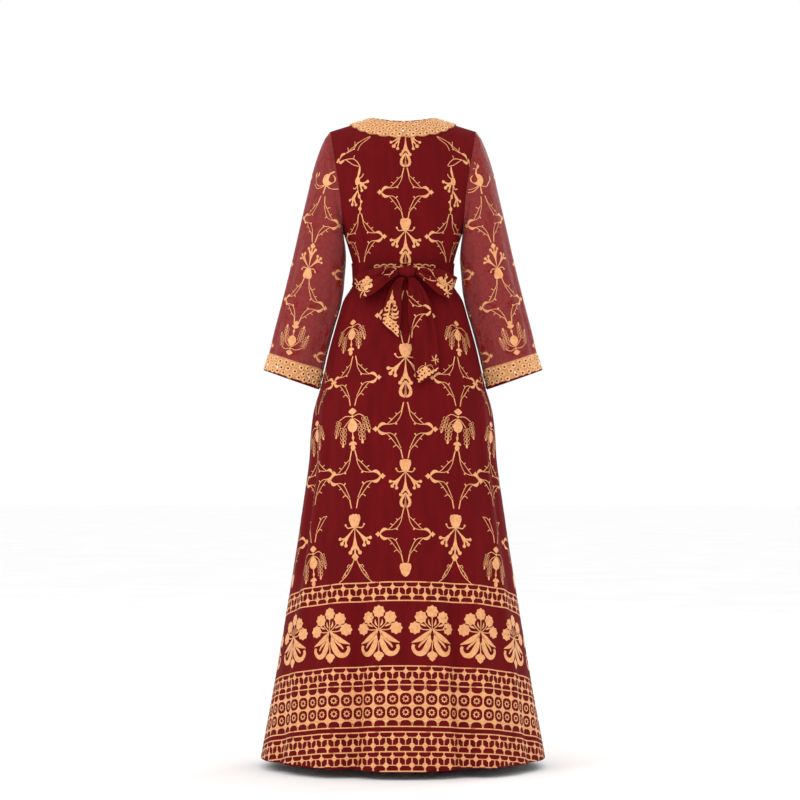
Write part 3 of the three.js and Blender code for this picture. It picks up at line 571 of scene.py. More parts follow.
def make_dies(name, figures):
    """A hidden collection with one flat mesh for each figure, in the order of their names."""
    dies = bpy.data.collections.new(name)
    for key, strokes in figures.items():
        verts, faces = [], []
        for points, polygons in strokes:
            if points.shape[1] == 2:
                points = np.column_stack([points, np.zeros(len(points))])
            for polygon in polygons:
                corners = points[list(polygon)]
                x, y = corners[:, 0], corners[:, 1]
                area = np.sum(x * np.roll(y, -1) - np.roll(x, -1) * y)
                faces.append([i + len(verts) for i in (polygon if area > 0 else polygon[::-1])])
            verts.extend((points / 1000).tolist())
        mesh = bpy.data.meshes.new(key)
        mesh.from_pydata(verts, [], faces)
        dies.objects.link(bpy.data.objects.new(f"{name}_{key}", mesh))
    return dies, sorted(figures)


def print_tree():
    """Geometry Nodes that lay flat figures on a cloth by its map of the cut cloth."""
    tree = bpy.data.node_groups.new("lay_print", "GeometryNodeTree")
    tree.interface.new_socket("Geometry", in_out="OUTPUT", socket_type="NodeSocketGeometry")
    for name, kind in (("Geometry", "Geometry"), ("Cloth", "Object"), ("Figures", "Collection"),
                       ("Lift", "Float"), ("Finish", "Material")):
        tree.interface.new_socket(name, in_out="INPUT", socket_type=f"NodeSocket{kind}")
    given = add_node(tree, "NodeGroupInput").outputs
    names = {}
    for key, kind in (("figure", "INT"), ("turn", "FLOAT"), ("size", "FLOAT"),
                      ("flat", "FLOAT_VECTOR")):
        names[key] = add_node(tree, "GeometryNodeInputNamedAttribute", {"data_type": kind},
                              {"Name": key}).outputs["Attribute"]
    figures = add_node(tree, "GeometryNodeCollectionInfo", inputs={
        "Collection": given["Figures"], "Separate Children": True, "Reset Children": True})
    turned = add_node(tree, "FunctionNodeAxisAngleToRotation",
                      inputs={"Axis": (0, 0, 1), "Angle": names["turn"]})
    stamped = add_node(tree, "GeometryNodeInstanceOnPoints", inputs={
        "Points": given["Geometry"], "Instance": figures.outputs[0], "Pick Instance": True,
        "Instance Index": names["figure"], "Rotation": turned.outputs[0], "Scale": names["size"]})
    drawn = add_node(tree, "GeometryNodeRealizeInstances", inputs={"Geometry": stamped.outputs[0]})
    cloth = add_node(tree, "GeometryNodeObjectInfo", inputs={"Object": given["Cloth"]})
    here = add_node(tree, "GeometryNodeInputPosition").outputs[0]
    found = {}
    for key, kind in (("place", "GeometryNodeInputPosition"),
                      ("normal", "GeometryNodeInputNormal")):
        found[key] = add_node(tree, "GeometryNodeSampleUVSurface", {"data_type": "FLOAT_VECTOR"}, {
            "Mesh": cloth.outputs["Geometry"], "Value": add_node(tree, kind).outputs[0],
            "UV Map": names["flat"], "Sample UV": here})
    outside = add_node(tree, "FunctionNodeBooleanMath", {"operation": "NOT"},
                       {0: found["place"].outputs["Is Valid"]})
    kept = add_node(tree, "GeometryNodeDeleteGeometry", {"domain": "POINT"},
                    {"Geometry": drawn.outputs[0], "Selection": outside.outputs[0]})
    proud = add_node(tree, "ShaderNodeSeparateXYZ", inputs={"Vector": here})
    height = add_node(tree, "ShaderNodeMath", {"operation": "ADD"},
                      {0: given["Lift"], 1: proud.outputs["Z"]})
    rise = add_node(tree, "ShaderNodeVectorMath", {"operation": "SCALE"},
                    {"Vector": found["normal"].outputs["Value"], "Scale": height.outputs[0]})
    target = add_node(tree, "ShaderNodeVectorMath", {"operation": "ADD"},
                      {0: found["place"].outputs["Value"], 1: rise.outputs[0]})
    laid = add_node(tree, "GeometryNodeSetPosition",
                    inputs={"Geometry": kept.outputs[0], "Position": target.outputs[0]})
    smooth = add_node(tree, "GeometryNodeSetShadeSmooth",
                      inputs={"Geometry": laid.outputs[0], "Shade Smooth": True})
    done = add_node(tree, "GeometryNodeSetMaterial",
                    inputs={"Geometry": smooth.outputs[0], "Material": given["Finish"]})
    add_node(tree, "NodeGroupOutput", inputs={"Geometry": done.outputs[0]})
    return tree


lay_print = print_tree()
dies, die_names = make_dies("dies", FIGURES)


def lay(name, cloth, figures, layout, finish, lift=0.5):
    """Lays figures on a sheet before it gets its wall, as one plain mesh. Each row of the
    layout is a figure's name, its place on the cut cloth, its turn in degrees and its size."""
    collection, order = figures
    mesh = bpy.data.meshes.new(name)
    mesh.from_pydata([(x / 1000, y / 1000, 0) for _, x, y, _, _ in layout], [], [])
    for key, kind, values in (
            ("figure", "INT", [order.index(row[0]) for row in layout]),
            ("turn", "FLOAT", [math.radians(row[3]) for row in layout]),
            ("size", "FLOAT", [row[4] for row in layout])):
        mesh.attributes.new(key, kind, "POINT").data.foreach_set("value", values)
    piece = placed(name, mesh)
    nodes = piece.modifiers.new("lay_print", "NODES")
    nodes.node_group = lay_print
    inputs = {item.name: item.identifier for item in lay_print.interface.items_tree
              if item.in_out == "INPUT"}
    for key, value in (("Cloth", cloth), ("Figures", collection), ("Lift", lift / 1000),
                       ("Finish", finish)):
        nodes[inputs[key]] = value
    bpy.context.view_layer.update()
    evaluated = piece.evaluated_get(bpy.context.evaluated_depsgraph_get())
    plain = bpy.data.meshes.new_from_object(evaluated)
    piece.modifiers.clear()
    piece.data = plain
    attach(piece, "root")
    return piece


def side_by_side(rows, middle):
    """Rows of a layout and the same rows mirrored about a line up the cloth."""
    turned = {"wheat": "wheat_turned", "blossom": "blossom_turned",
              "shoulder_vine": "shoulder_vine_turned"}
    return rows + [(turned.get(name, name), 2 * middle - x, y, -turn, size)
                   for name, x, y, turn, size in rows]


def declare_cloth(piece):
    """Reads the corners of a sheet's map "flat" into an array, and does no more with them."""
    corners = np.empty(len(piece.data.loops) * 2, dtype=np.float32)
    piece.data.uv_layers["flat"].data.foreach_get("uv", corners)


# At the back, the middle of the mirrored figures is a little off the centre, as photographed.
BODICE_PRINT = {
    "back": [("spear_onion", 5.4, 344, 0, 1.0), ("drops", 5.4, 299, 0, 1.0),
             ("ogee", 5.4, 186, 0, 0.96), ("onion_bud", 5.4, 130, 0, 1.0)]
    + side_by_side([("shoulder_vine", -153, 267, 0, 1.03)], 1.5)
    + side_by_side([("blossom", -102, 213, 0, 1.0), ("ogee", -96, 90, 0, 0.95),
                    ("wheat", -96, 24, 0, 0.9)], 5.8),
    "front": [("spear_onion", 0, 300, 0, 1.0), ("drops", 0, 255, 0, 1.0),
              ("ogee", 0, 142, 0, 0.96), ("onion_bud", 0, 84, 0, 1.0)]
    + side_by_side([("shoulder_vine", -152, 262, 0, 1.0), ("blossom", -104, 216, 0, 1.0),
                    ("ogee", -101, 92, 0, 0.95), ("wheat", -101, 26, 0, 0.9)], 0),
}

bodice, bodice_print = {}, {}
for side in ("back", "front"):
    points = bodice_points(side)
    across = lengths_along(points, 1)
    flat = np.stack([across - across[:, [across.shape[1] // 2]], lengths_along(points, 0)],
                    axis=-1)
    points = creased(points, flat, BODICE_CREASES[side])
    bodice[side] = cloth_sheet(f"bodice_{side}_cloth", points, flat)
    bodice[side].data.materials.append(maroon_crepe)
    bodice_print[side] = lay(f"bodice_{side}_print", bodice[side], (dies, die_names),
                             BODICE_PRINT[side], gold_pigment)
    finish_cloth(bodice[side], f"bodice_{side}", CLOTH_WALL)
for side, other in (("back", "front"), ("front", "back")):
    declare_cloth(bodice[side])


# ---- Skirt --------------------------------------------------------------------------
# Front and back of the A-line skirt: the same crepe, cut as part of a wide ring, with the
# side seams on the bias, so it falls in deep folds towards the hem and is gathered a
# little into the waist.
HEM_Z = -1408
# How far the hem rises at the middle of a panel and away from it, the degrees that this
# takes, and the height where it starts.
HEM_RISE = (4, 4.5, 22, -1230)
HIP_Z = -500  # the rows of the panel's grid are closer together above this height

# Folds of the skirt. angle runs from the centre back (0) towards the wearer's left (90)
# and on to the front (180). out is the height at full strength, negative in a trough.
FOLDS = (
    # angle, out, spread, from, full, fades
    (0, 8, 11, -640, -1300, -9999), (19, -21, 4.4, -800, -1330, -9999),
    (31, 9, 7, -760, -1300, -9999), (56, 5, 5, -560, -800, -1150),
    (67, -7, 5, -560, -820, -940), (60, -11, 5.5, -1110, -1380, -9999),
    (-24, -22, 4.6, -780, -1330, -9999), (-36, 9, 7, -760, -1300, -9999),
    (-57, 5, 5, -580, -830, -1180), (-69, -7, 5, -580, -830, -940),
    (-63, -10, 5.5, -1100, -1380, -9999), (122, -14, 5, -860, -1380, -9999),
    (140, 8, 8, -760, -1340, -9999), (157, -20, 4.6, -820, -1340, -9999),
    (180, 9, 11, -680, -1320, -9999), (-160, -19, 4.4, -840, -1340, -9999),
    (-143, 8, 8, -760, -1340, -9999), (-120, -14, 5, -880, -1380, -9999),
)
FADE_LENGTH = 220  # how far below the height where it fades a fold is gone


def level_section(angles, half_width, depth):
    """The body's level section: angle 0 is the centre back and 90 the wearer's left."""
    sine, cosine = np.sin(np.radians(angles)), np.cos(np.radians(angles))
    return (half_width * np.sign(sine) * np.abs(sine) ** (2 / SECTION_POWER),
            depth * np.sign(cosine) * np.abs(cosine) ** (2 / SECTION_POWER))


def skirt_points(side):
    """Grid of the skirt, rows from the hem up and columns to the right seen from outside."""
    start = 90 if side == "back" else 270
    angles = np.linspace(start, start - 180, 161)
    angles = np.where(angles > 180, angles - 360, angles)[None, :]
    z = np.concatenate([np.linspace(HEM_Z, HIP_Z, 86),
                        np.linspace(HIP_Z, WAIST_Z - SEAM, 24)[1:]])
    z = z[:, None]
    x, y = level_section(angles, *section(z, side))
    out = np.zeros(x.shape)
    for angle, tall, spread, low, full, fades in FOLDS:
        away = (angles - angle + 180) % 360 - 180
        strength = ramp(z, low, full) * (1 - ramp(z, fades, fades - FADE_LENGTH))
        out += tall * strength * np.exp(-((away / spread) ** 2))
    middle, more, spread, low = HEM_RISE
    away = 90 - np.abs(np.abs(angles) - 90)
    rise = (middle + more * (1 - np.exp(-((away / spread) ** 2)))) * ramp(z, low, HEM_Z)
    radius = np.hypot(x, y)
    sign = 1 if side == "back" else -1
    y_out = sign * (np.abs(y + y / radius * out) + SEAM / 2)
    return np.stack([x + x / radius * out, y_out, z + rise], axis=-1)


def unrolled(points):
    """Where the skirt panel's points lie when it is cut flat, as part of a cone."""
    across, down = lengths_along(points[::-1], 1), lengths_along(points[::-1], 0)
    middle = down.mean(axis=1)
    grow, narrow = np.polyfit(middle, across[:, -1], 1)
    radius = narrow / grow + down
    turn = (across / across[:, [-1]] - 0.5) * grow
    flat = np.stack([radius * np.sin(turn), narrow / grow - radius * np.cos(turn)], axis=-1)
    return flat[::-1]


# Gathers under the belt and soft pulls over the hips, placed like the bodice's creases.
SKIRT_CREASES = {
    "back": (
        (-52, -8, -68, -118, 6, -1.8), (-78, -6, -104, -150, 7, 2.0),
        (-104, -8, -139, -128, 7, -2.0), (-131, -8, -172, -170, 8, 1.9),
        (58, -8, 76, -132, 6, -1.9), (82, -6, 112, -138, 7, 2.1), (110, -8, 143, -160, 7, -1.9),
        (136, -8, 178, -150, 8, 1.8), (-26, -60, -34, -190, 9, -1.6),
        (40, -70, 52, -230, 10, -1.5), (-168, -180, -208, -420, 13, 2.4),
        (176, -190, 214, -450, 13, 2.4), (-150, -240, -190, -560, 12, -2.2),
        (158, -220, 196, -520, 12, -2.2), (-78, -300, -92, -620, 16, 1.6),
        (88, -280, 98, -580, 15, -1.5), (30, -420, 36, -760, 18, 1.7),
        (-236, -420, -282, -680, 15, -2.4), (248, -430, 290, -690, 15, 2.2),
    ),
    "front": (
        (-44, -8, -60, -126, 6, -1.8), (-70, -6, -92, -140, 7, 2.0),
        (-98, -8, -130, -150, 7, -2.0), (-128, -8, -170, -140, 8, 1.9),
        (48, -8, 62, -120, 6, -1.8), (76, -6, 100, -150, 7, 2.0), (102, -8, 136, -136, 7, -2.0),
        (130, -8, 172, -160, 8, 1.8), (-10, -50, -12, -170, 10, -1.4),
        (22, -60, 26, -200, 10, 1.4), (-160, -190, -200, -430, 13, 2.4),
        (170, -180, 206, -440, 13, 2.3), (-84, -300, -96, -600, 16, -1.6),
        (80, -280, 92, -590, 15, 1.5), (-236, -420, -300, -760, 15, 2.5),
        (240, -430, 300, -780, 15, -2.4),
    ),
}
# Repeats of the border: enough of each to pass both edges of a panel at the hem.
LATTICE_PITCH = 27.7
ROSETTE_PITCH = 27.8
PALMETTE_PITCH = 115
REPEATS = range(-17, 18)


def hem_bands(middle):
    """The deep border: lattice, palmettes, lattice, rosettes and two lattices over the hem."""
    rows = [("stripe", x, y, 0, 1.0) for y in (-671, -710.6, -849.5, -889, -976.7, -988.2, -1029.5,
                                              -1070.5) for x in np.arange(-440, 441, 110)]
    rows += [("lattice", middle + LATTICE_PITCH * i, y, 0, 0.96) for i in REPEATS
             for y in (-671, -849.5, -988.6, -1030)]
    rows += [("rosette", middle + ROSETTE_PITCH * i, y, 0, 1.0) for i in REPEATS
             for y in (-918.6, -946.8)]
    rows += [("half_rosette", middle + ROSETTE_PITCH * i, y, turn, 1.0) for i in REPEATS
             for y, turn in ((-890, 0), (-975.6, 180))]
    return rows + [("palmette", middle + PALMETTE_PITCH * (i + 0.5), -785, 0, 1.0)
                   for i in range(-4, 4)]


def columns(middle):
    """The columns of ogees, buds and wheat over the border, closer to the hem at the sides."""
    centre = (("ogee", 0, -90, 1.05), ("onion_bud", 0, -154, 1.15), ("ogee", 0, -341, 1.05),
              ("onion_bud", 0, -406.6, 1.02), ("ogee", 0, -568.4, 1.0), ("bud", 0, -630, 1.05))
    sides = (("wheat", 120, -98, 0.92), ("ogee", 111, -228, 0.95), ("wheat", 111, -299, 1.05),
             ("ogee", 111, -443.5, 1.08), ("knob_bud", 110, -522, 1.1), ("splay", 110, -614, 1.0),
             ("ogee", 218, -228, 0.98), ("wheat", 218, -308, 0.95), ("ogee", 218, -430, 1.0),
             ("vee", 218, -512, 1.0), ("wheat", 218, -588, 1.0), ("onion_bud", 327, -400, 1.0),
             ("ogee", 327, -562, 1.0), ("bud", 327, -624, 1.05))
    centre, sides = ([(name, middle - out, y, 0, size) for name, out, y, size in rows]
                     for rows in (centre, sides))
    return centre + side_by_side(sides, middle)


skirt, skirt_print = {}, {}
for side, middle in (("back", 5.3), ("front", 0)):
    points = skirt_points(side)
    flat = unrolled(points)
    points = creased(points, flat, SKIRT_CREASES[side])
    skirt[side] = cloth_sheet(f"skirt_{side}_cloth", points, flat)
    skirt[side].data.materials.append(maroon_crepe)
    skirt_print[side] = lay(f"skirt_{side}_print", skirt[side], (dies, die_names),
                            columns(middle) + hem_bands(middle), gold_pigment)
    finish_cloth(skirt[side], f"skirt_{side}", CLOTH_WALL)
    declare_cloth(skirt[side])


# ---- Sleeves and cuffs --------------------------------------------------------------
# Wide straight sleeves: sheer crinkled organza with the same gold print, set into the
# armholes, each ending in a cuff that is a gold eyelet band sewn with clear stones.
SLEEVE = np.array([
    # row, inner x, inner z, outer x, outer z, half depth, y, wrap round the hip
    (0, 129.6, -262, 172, -42, 62, -3, 0), (1, 126.6, -282, 184, -70, 62, -3, 0),
    (2, 125.4, -308, 197, -110, 61, -4, 0), (3, 128, -343, 211, -168, 60, -5, 0),
    (4, 131.5, -380, 228, -240, 59, -6, 6), (5, 140, -420, 246, -318, 57, -8, 10),
    (6, 153, -462, 265, -394, 56, -10, 12), (7, 165.5, -508, 283, -462, 55, -12, 12),
    (8, 175.5, -553, 295, -512, 54, -14, 10), (9, 185, -593, 307, -550, 53, -14, 8),
], dtype=float)
CUFF_ROW = 8
SET_IN_ROWS = 5
# Soft flutes down the sleeve: the angle round it, how far out and how wide.
FLUTES = ((55, -4, 14), (118, 3, 16), (150, -3, 12), (240, -4, 14), (305, 3, 16))


def sleeve_points(side):
    """Rings of a sleeve from the armhole to its end, and the row of SLEEVE at each ring."""
    low = np.linspace(UNDERARM_Z, YOKE_Z, 15)
    loops = [np.concatenate([lower_bodice(np.ones(15), low, face),
                             upper_bodice(1.0, np.linspace(0, 1, 26)[1:], face)])
             for face in ("back", "front")]
    armhole = np.concatenate([loops[0], loops[1][-2:0:-1]])
    count, top = len(armhole), len(loops[0]) - 1
    share = (armhole[:, 2] - armhole[0, 2]) / (armhole[top, 2] - armhole[0, 2])
    turn = np.arccos(1 - 2 * np.clip(share, 0, 1)) * np.where(np.arange(count) <= top, 1, -1)
    armhole[[0, top], 1] = 0
    armhole[:, 0] += SEAM
    end = SLEEVE[-1, 0]
    rows = np.concatenate([np.linspace(0, CUFF_ROW, 90), np.linspace(CUFF_ROW, end, 13)[1:]])
    inner_x, inner_z, outer_x, outer_z, depth, y, wrap = np.moveaxis(
        curve_through(SLEEVE, rows), -1, 0)[:, :, None]
    flute = np.zeros((len(rows), count))
    for angle, out, spread in FLUTES:
        away = (np.degrees(turn) - angle + 180) % 360 - 180
        flute += out * ramp(rows[:, None] / end, 0.1, 0.6) * np.exp(-((away / spread) ** 2))
    grow = 1 + flute / depth
    across = np.cos(turn) * grow
    quarter = np.where((turn > 0) & (np.cos(turn) > 0), np.sin(2 * turn) ** 2, 0)
    half_x, half_z = (outer_x - inner_x) / 2, (outer_z - inner_z) / 2
    rings = np.stack([inner_x + half_x - half_x * across - wrap * quarter,
                      y + depth * np.sin(turn) * grow,
                      inner_z + half_z - half_z * across], axis=-1)
    near = np.linspace(0, 1, SET_IN_ROWS + 1)[:-1, None, None]
    rings = np.concatenate([armhole * (1 - near) + rings[0] * near, rings])
    rows = np.concatenate([np.full(SET_IN_ROWS, -1), rows])
    if side == "right":
        rings = (rings * (-1, 1, 1))[:, np.r_[0, count - 1:0:-1]]
    return rings, rows


def closed_up(grid):
    """A grid that wraps round, with its first column again at its end."""
    return np.concatenate([grid, grid[:, :1]], axis=1)


def sleeve_flat(rings):
    """The sleeve cut open under the arm and laid flat, seen from outside, shoulder up: up is
    along the sleeve's axis and right is round it, from the top of the shoulder."""
    closed = closed_up(rings)
    start = rings[0].mean(axis=0)
    axis = rings[-1].mean(axis=0) - start
    axis /= np.linalg.norm(axis)
    step = np.diff(closed, axis=1)
    round_it = np.linalg.norm(step - (step @ axis)[..., None] * axis, axis=2)
    across = np.concatenate([np.zeros((len(rings), 1)), np.cumsum(round_it, axis=1)], axis=1)
    return np.stack([across[:, [-1]] / 2 - across, -(closed - start) @ axis], axis=-1)


def organza(name):
    """Sheer crinkled polyester organza: thin and see-through, with fine wandering creases
    that catch the light and a slight silky gloss. One plain alpha keeps it see-through."""
    material, tree, place = new_material(name)
    bend = noise(tree, place, 26.0)
    swirl = add_node(tree, "ShaderNodeVectorMath", {"operation": "MULTIPLY_ADD"},
                     {0: bend.outputs["Color"], 1: (0.05, 0.05, 0.05), 2: place})
    # The crinkles wander 15 to 20 mm apart.
    crinkle = add_node(tree, "ShaderNodeTexVoronoi", {"feature": "DISTANCE_TO_EDGE"},
                       {"Vector": swirl.outputs[0], "Scale": 58.0})
    depth = crinkle.outputs["Distance"]
    # The base colour is darker along the crease lines: painted shade in the creases.
    finish_material(tree, {
        "Base Color": two_colours(tree, depth, "790f10", "8b1a19", 0.0, 0.1),
        "Roughness": 0.5, "Normal": bumps(tree, depth, 0.5, 0.003), "Alpha": 0.86,
        "Specular IOR Level": 0.15, "Sheen Weight": 0.06, "Sheen Roughness": 0.4,
        "Sheen Tint": colour("d88890")})
    return material


def embroidery(name, dark, light):
    """Dense gold thread embroidery: satin stitches catch the light in short lines."""
    material, tree, place = new_material(name)
    tone = noise(tree, place, 260.0)
    # Stitches of about 0.4 mm are drawn twice as coarse so that they show.
    stitch = add_node(tree, "ShaderNodeTexVoronoi", inputs={"Vector": place, "Scale": 1100.0})
    finish_material(tree, {
        "Base Color": two_colours(tree, tone.outputs["Fac"], dark, light),
        "Roughness": 0.45, "Metallic": 0.15,
        "Normal": bumps(tree, stitch.outputs["Distance"], 0.6, 0.0008)})
    return material


def plain_material(name, code, roughness, coat=0.0):
    material, tree, place = new_material(name)
    cloud = noise(tree, place, 200.0)
    finish_material(tree, {
        "Base Color": two_colours(tree, cloud.outputs["Fac"], code, code),
        "Roughness": roughness, "Coat Weight": coat})
    return material


maroon_organza = organza("maroon_crinkled_organza")
gold_embroidery = embroidery("gold_thread_embroidery", "c08350", "e2a268")
# The rings round the eyelets are raised and stitched closer, and are coloured lighter: partly the
# denser gold thread, partly a painted highlight for the light on the raised satin.
gold_satin_stitch_highlit = embroidery("gold_satin_stitch_highlit", "de9e68", "f8c289")
# Clear cut stones: glossy, with their colour painted nearly white as a painted glint, so each is
# one bright point.
stone_painted_glint = plain_material("clear_cut_stone", "f2eee6", 0.08, 0.8)
# The cloth seen down the holes of the eyelets, in shade.
shaded_maroon = plain_material("maroon_cloth_in_eyelet", "3c0508", 0.9)


def dome(rings, sides):
    """A raised figure turned about its middle: each ring is a radius and a height."""
    turn = np.arange(sides) * 2 * math.pi / sides
    verts = np.concatenate([np.stack([r * np.sin(turn), r * np.cos(turn), np.full(sides, h)],
                                     axis=1)
                            for r, h in rings])
    faces = [(k * sides + i, k * sides + (i + 1) % sides, (k + 1) * sides + (i + 1) % sides,
              (k + 1) * sides + i) for k in range(len(rings) - 1) for i in range(sides)]
    return [(verts, faces)]


TRIMS = {
    "eyelet": dome(((6.3, 0), (5.6, 1.2), (4.0, 1.6), (2.5, 1.3), (2.0, 0)), 12),
    "hole": [round_shape(0, 0, 2.3)],
    "stone": dome(((2.5, 0), (2.2, 1.2), (1.2, 2.0), (0.05, 2.1)), 8),
}
trims = make_dies("trims", TRIMS)


def at_shares(flat, around, up):
    """Where a share of the way round and up a band lies on its cut cloth."""
    c, r = around * (flat.shape[1] - 1), up * (flat.shape[0] - 1)
    i, j = min(int(r), flat.shape[0] - 2), min(int(c), flat.shape[1] - 2)
    low = flat[i, j] * (1 - c + j) + flat[i, j + 1] * (c - j)
    high = flat[i + 1, j] * (1 - c + j) + flat[i + 1, j + 1] * (c - j)
    return tuple(low * (1 - r + i) + high * (r - i))


def sew_trims(name, band, flat, rows, stones):
    """Eyelets in rows round a band: each row is a count, a share up, a shift and a size."""
    places = []
    for count, up, shift, size in rows:
        for i in range(count):
            # The rows waver and the eyelets differ a little, as hand work does.
            wave = 0.035 * math.sin(2.4 * i + 7 * up)
            places.append((*at_shares(flat, ((i + shift) / count) % 1, up + wave), 0,
                           size * (1 + 0.08 * math.sin(3.1 * i + up))))
    rings = lay(f"{name}_eyelets", band, trims, [("eyelet", *p) for p in places],
                gold_satin_stitch_highlit, 0.2)
    holes = lay(f"{name}_holes", band, trims, [("hole", *p) for p in places],
                shaded_maroon, 0.3)
    gems = lay(f"{name}_stones", band, trims,
               [("stone", *at_shares(flat, u, v), 0, 1.0) for u, v in stones], stone_painted_glint, 1.2)
    return [rings, holes, gems]


# The sleeves' print runs like the skirt's but the other way up, and a little smaller.
SLEEVE_PRINT = {"left": [
    (figure, s, t, 180, size) for columns_at, figures in (
        ((73, -150), (("disc", -17, 1.05), ("ogee", -108, 0.88),
                      ("knob_bud", -237, 0.86), ("ogee", -290, 0.93), ("wheat", -402, 0.86))),
        ((184, -38), (("ogee", -17, 0.88), ("wheat", -147, 0.86), ("ogee", -212, 0.88),
                      ("knob_bud", -341, 0.86), ("ogee", -396, 0.9))))
    for s in columns_at for figure, t, size in figures]}
SLEEVE_PRINT["right"] = [(figure, -s, t, turn, size)
                         for figure, s, t, turn, size in SLEEVE_PRINT["left"]]

sleeves, sleeve_print, cuffs, cuff_trims = {}, {}, {}, {}
for side in ("left", "right"):
    rings, rows = sleeve_points(side)
    flat = sleeve_flat(rings)
    cut = int(np.argmax(rows >= CUFF_ROW))
    # The organza has no wall, so that light passes one layer of it and no more.
    sleeves[side] = cloth_sheet(f"sleeve_{side}_cloth", rings[:cut + 1], flat[:cut + 1],
                                wraps=True)
    sleeves[side].data.materials.append(maroon_organza)
    sleeve_print[side] = lay(f"sleeve_{side}_print", sleeves[side], (dies, die_names),
                             SLEEVE_PRINT[side], gold_pigment, 0.4)
    finish_cloth(sleeves[side], f"sleeve_{side}")
    declare_cloth(sleeves[side])

    cuffs[side] = cloth_sheet(f"cuff_{side}_cloth", rings[cut:], flat[cut:], wraps=True)
    cuffs[side].data.materials.append(gold_embroidery)
    # The turned-up edge below the lace is the sleeve's own maroon cloth.
    cuffs[side].data.materials.append(maroon_crepe)
    for face in cuffs[side].data.polygons[-rings.shape[1]:]:
        face.material_index = 1
    cuff_trims[side] = sew_trims(
        f"cuff_{side}", cuffs[side], flat[cut:],
        ((27, 0.2, 0.0, 1.0), (27, 0.5, 0.5, 1.0), (27, 0.8, 0.0, 0.98)),
        ((0.12, 0.62), (0.3, 0.6), (0.42, 0.64), (0.56, 0.6), (0.78, 0.62)))
    finish_cloth(cuffs[side], f"cuff_{side}", CLOTH_WALL)
    # The lace lies on the sleeve's own end, so its maroon cloth is what shows inside.
    cuffs[side].modifiers["wall"].material_offset = 1
    declare_cloth(cuffs[side])


# ---- Neck band ----------------------------------------------------------------------
# Gold embroidered eyelet lace laid round the neckline on the bodice, with a narrow maroon
# piping along the neck edge, scalloped round its outer edge and sewn with a few stones.
BAND_WIDTH = 46
SCALLOPS = 12
SCALLOP_DEPTH = 3
BAND_LIFT = 2.0
PIPING_RADIUS = 1.3
PIPING_SIDES = 8
PIPING_SINK = 0.6


def travel(x, turn, down, side):
    """Goes down the cloth from points of the yoke by lengths measured on it."""
    steps, nudge = 16, 0.01
    z = yoke_point(x, turn, side)[..., 2]
    for _ in range(steps):
        here = yoke_point(x, turn, side)
        ahead = yoke_point(x, np.maximum(turn - nudge, 0), side)
        length = np.linalg.norm(ahead - here, axis=-1) / nudge
        next_turn = turn - down / steps / np.maximum(length, 1e-6)
        on_yoke = (turn > nudge) & (next_turn > 2 * nudge)
        turn = np.where(on_yoke, next_turn, turn)
        low_z = np.minimum(z - down / steps, YOKE_Z)
        z = np.where(on_yoke, yoke_point(x, turn, side)[..., 2], low_z)
        turn = np.where(on_yoke, turn, 0.0)
    low = lower_bodice(x / armhole_x(np.minimum(z, YOKE_Z), 0), np.minimum(z, YOKE_Z), side)
    return np.where((turn > nudge)[..., None], yoke_point(x, turn, side), low)


def band_points():
    """Grid of the neck band, rows from its scalloped edge to the neck, wrapping round."""
    across = np.linspace(1, 0, 13)[:, None]
    halves = []
    for side, along in (("back", np.linspace(1, -1, 109)[:-1]),
                        ("front", np.linspace(-1, 1, 109)[:-1])):
        sweep = (along * math.pi / 2)[None, :]
        scallop = SCALLOP_DEPTH * np.abs(np.sin(SCALLOPS * sweep))
        wide = across * (BAND_WIDTH - SCALLOP_DEPTH + scallop)
        start = math.pi / 2 - math.radians(NECK_TURN[side]) * np.cos(sweep)
        x = NECK_HALF * np.sin(sweep) + np.sin(sweep) * wide
        halves.append(travel(x, np.broadcast_to(start, x.shape), np.cos(sweep) * wide, side))
    return np.concatenate(halves, axis=1)


def piping(name, edge, outward):
    """A thin closed tube along a closed edge, sunk a little into the cloth that it ends."""
    way = np.roll(edge, -1, axis=0) - np.roll(edge, 1, axis=0)
    way /= np.linalg.norm(way, axis=1, keepdims=True)
    over = np.cross(outward, way)
    turns = (np.arange(PIPING_SIDES) * 2 * math.pi / PIPING_SIDES)[:, None]
    around = np.cos(turns) * outward[:, None] + np.sin(turns) * over[:, None]
    tube = edge[:, None] - outward[:, None] * PIPING_SINK + PIPING_RADIUS * around
    n = len(edge)
    mesh = bpy.data.meshes.new(name)
    mesh.from_pydata((tube.reshape(-1, 3) / 1000).tolist(), [], [
        (i * PIPING_SIDES + j, (i + 1) % n * PIPING_SIDES + j,
         (i + 1) % n * PIPING_SIDES + (j + 1) % PIPING_SIDES,
         i * PIPING_SIDES + (j + 1) % PIPING_SIDES)
        for i in range(n) for j in range(PIPING_SIDES)])
    mesh.shade_smooth()
    mesh.materials.append(maroon_crepe)
    piece = placed(name, mesh)
    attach(piece, "root")
    return piece


points = band_points()
points = points + outward_normals(points, wraps=True) * BAND_LIFT
closed = closed_up(points)
flat = unrolled(closed)
neck_band = cloth_sheet("neck_band_cloth", points, flat, wraps=True)
neck_band.data.materials.append(gold_embroidery)
band_trims = sew_trims(
    "neck_band", neck_band, flat,
    ((46, 0.14, 0.0, 1.05), (42, 0.4, 0.5, 1.0), (38, 0.65, 0.0, 0.95), (34, 0.88, 0.5, 0.82)),
    ((0.25, 0.3), (0.05, 0.5), (0.45, 0.5), (0.75, 0.3), (0.6, 0.5), (0.9, 0.5)))
neck_piping = piping("neck_piping", points[-1], outward_normals(points, wraps=True)[-1])
finish_cloth(neck_band, "neck_band", CLOTH_WALL)
declare_cloth(neck_band)


# ---- Belt ---------------------------------------------------------------------------
# The sash wrapped flat round the waist over the seam, of the same crepe, a little darker
# in the photo, pulled narrower where the knot gathers it.
BELT_LIFT = 1.1
SASH_WALL = 1.6
BELT_Z = (-363, -317)
BELT_MIDDLE = sum(BELT_Z) / 2
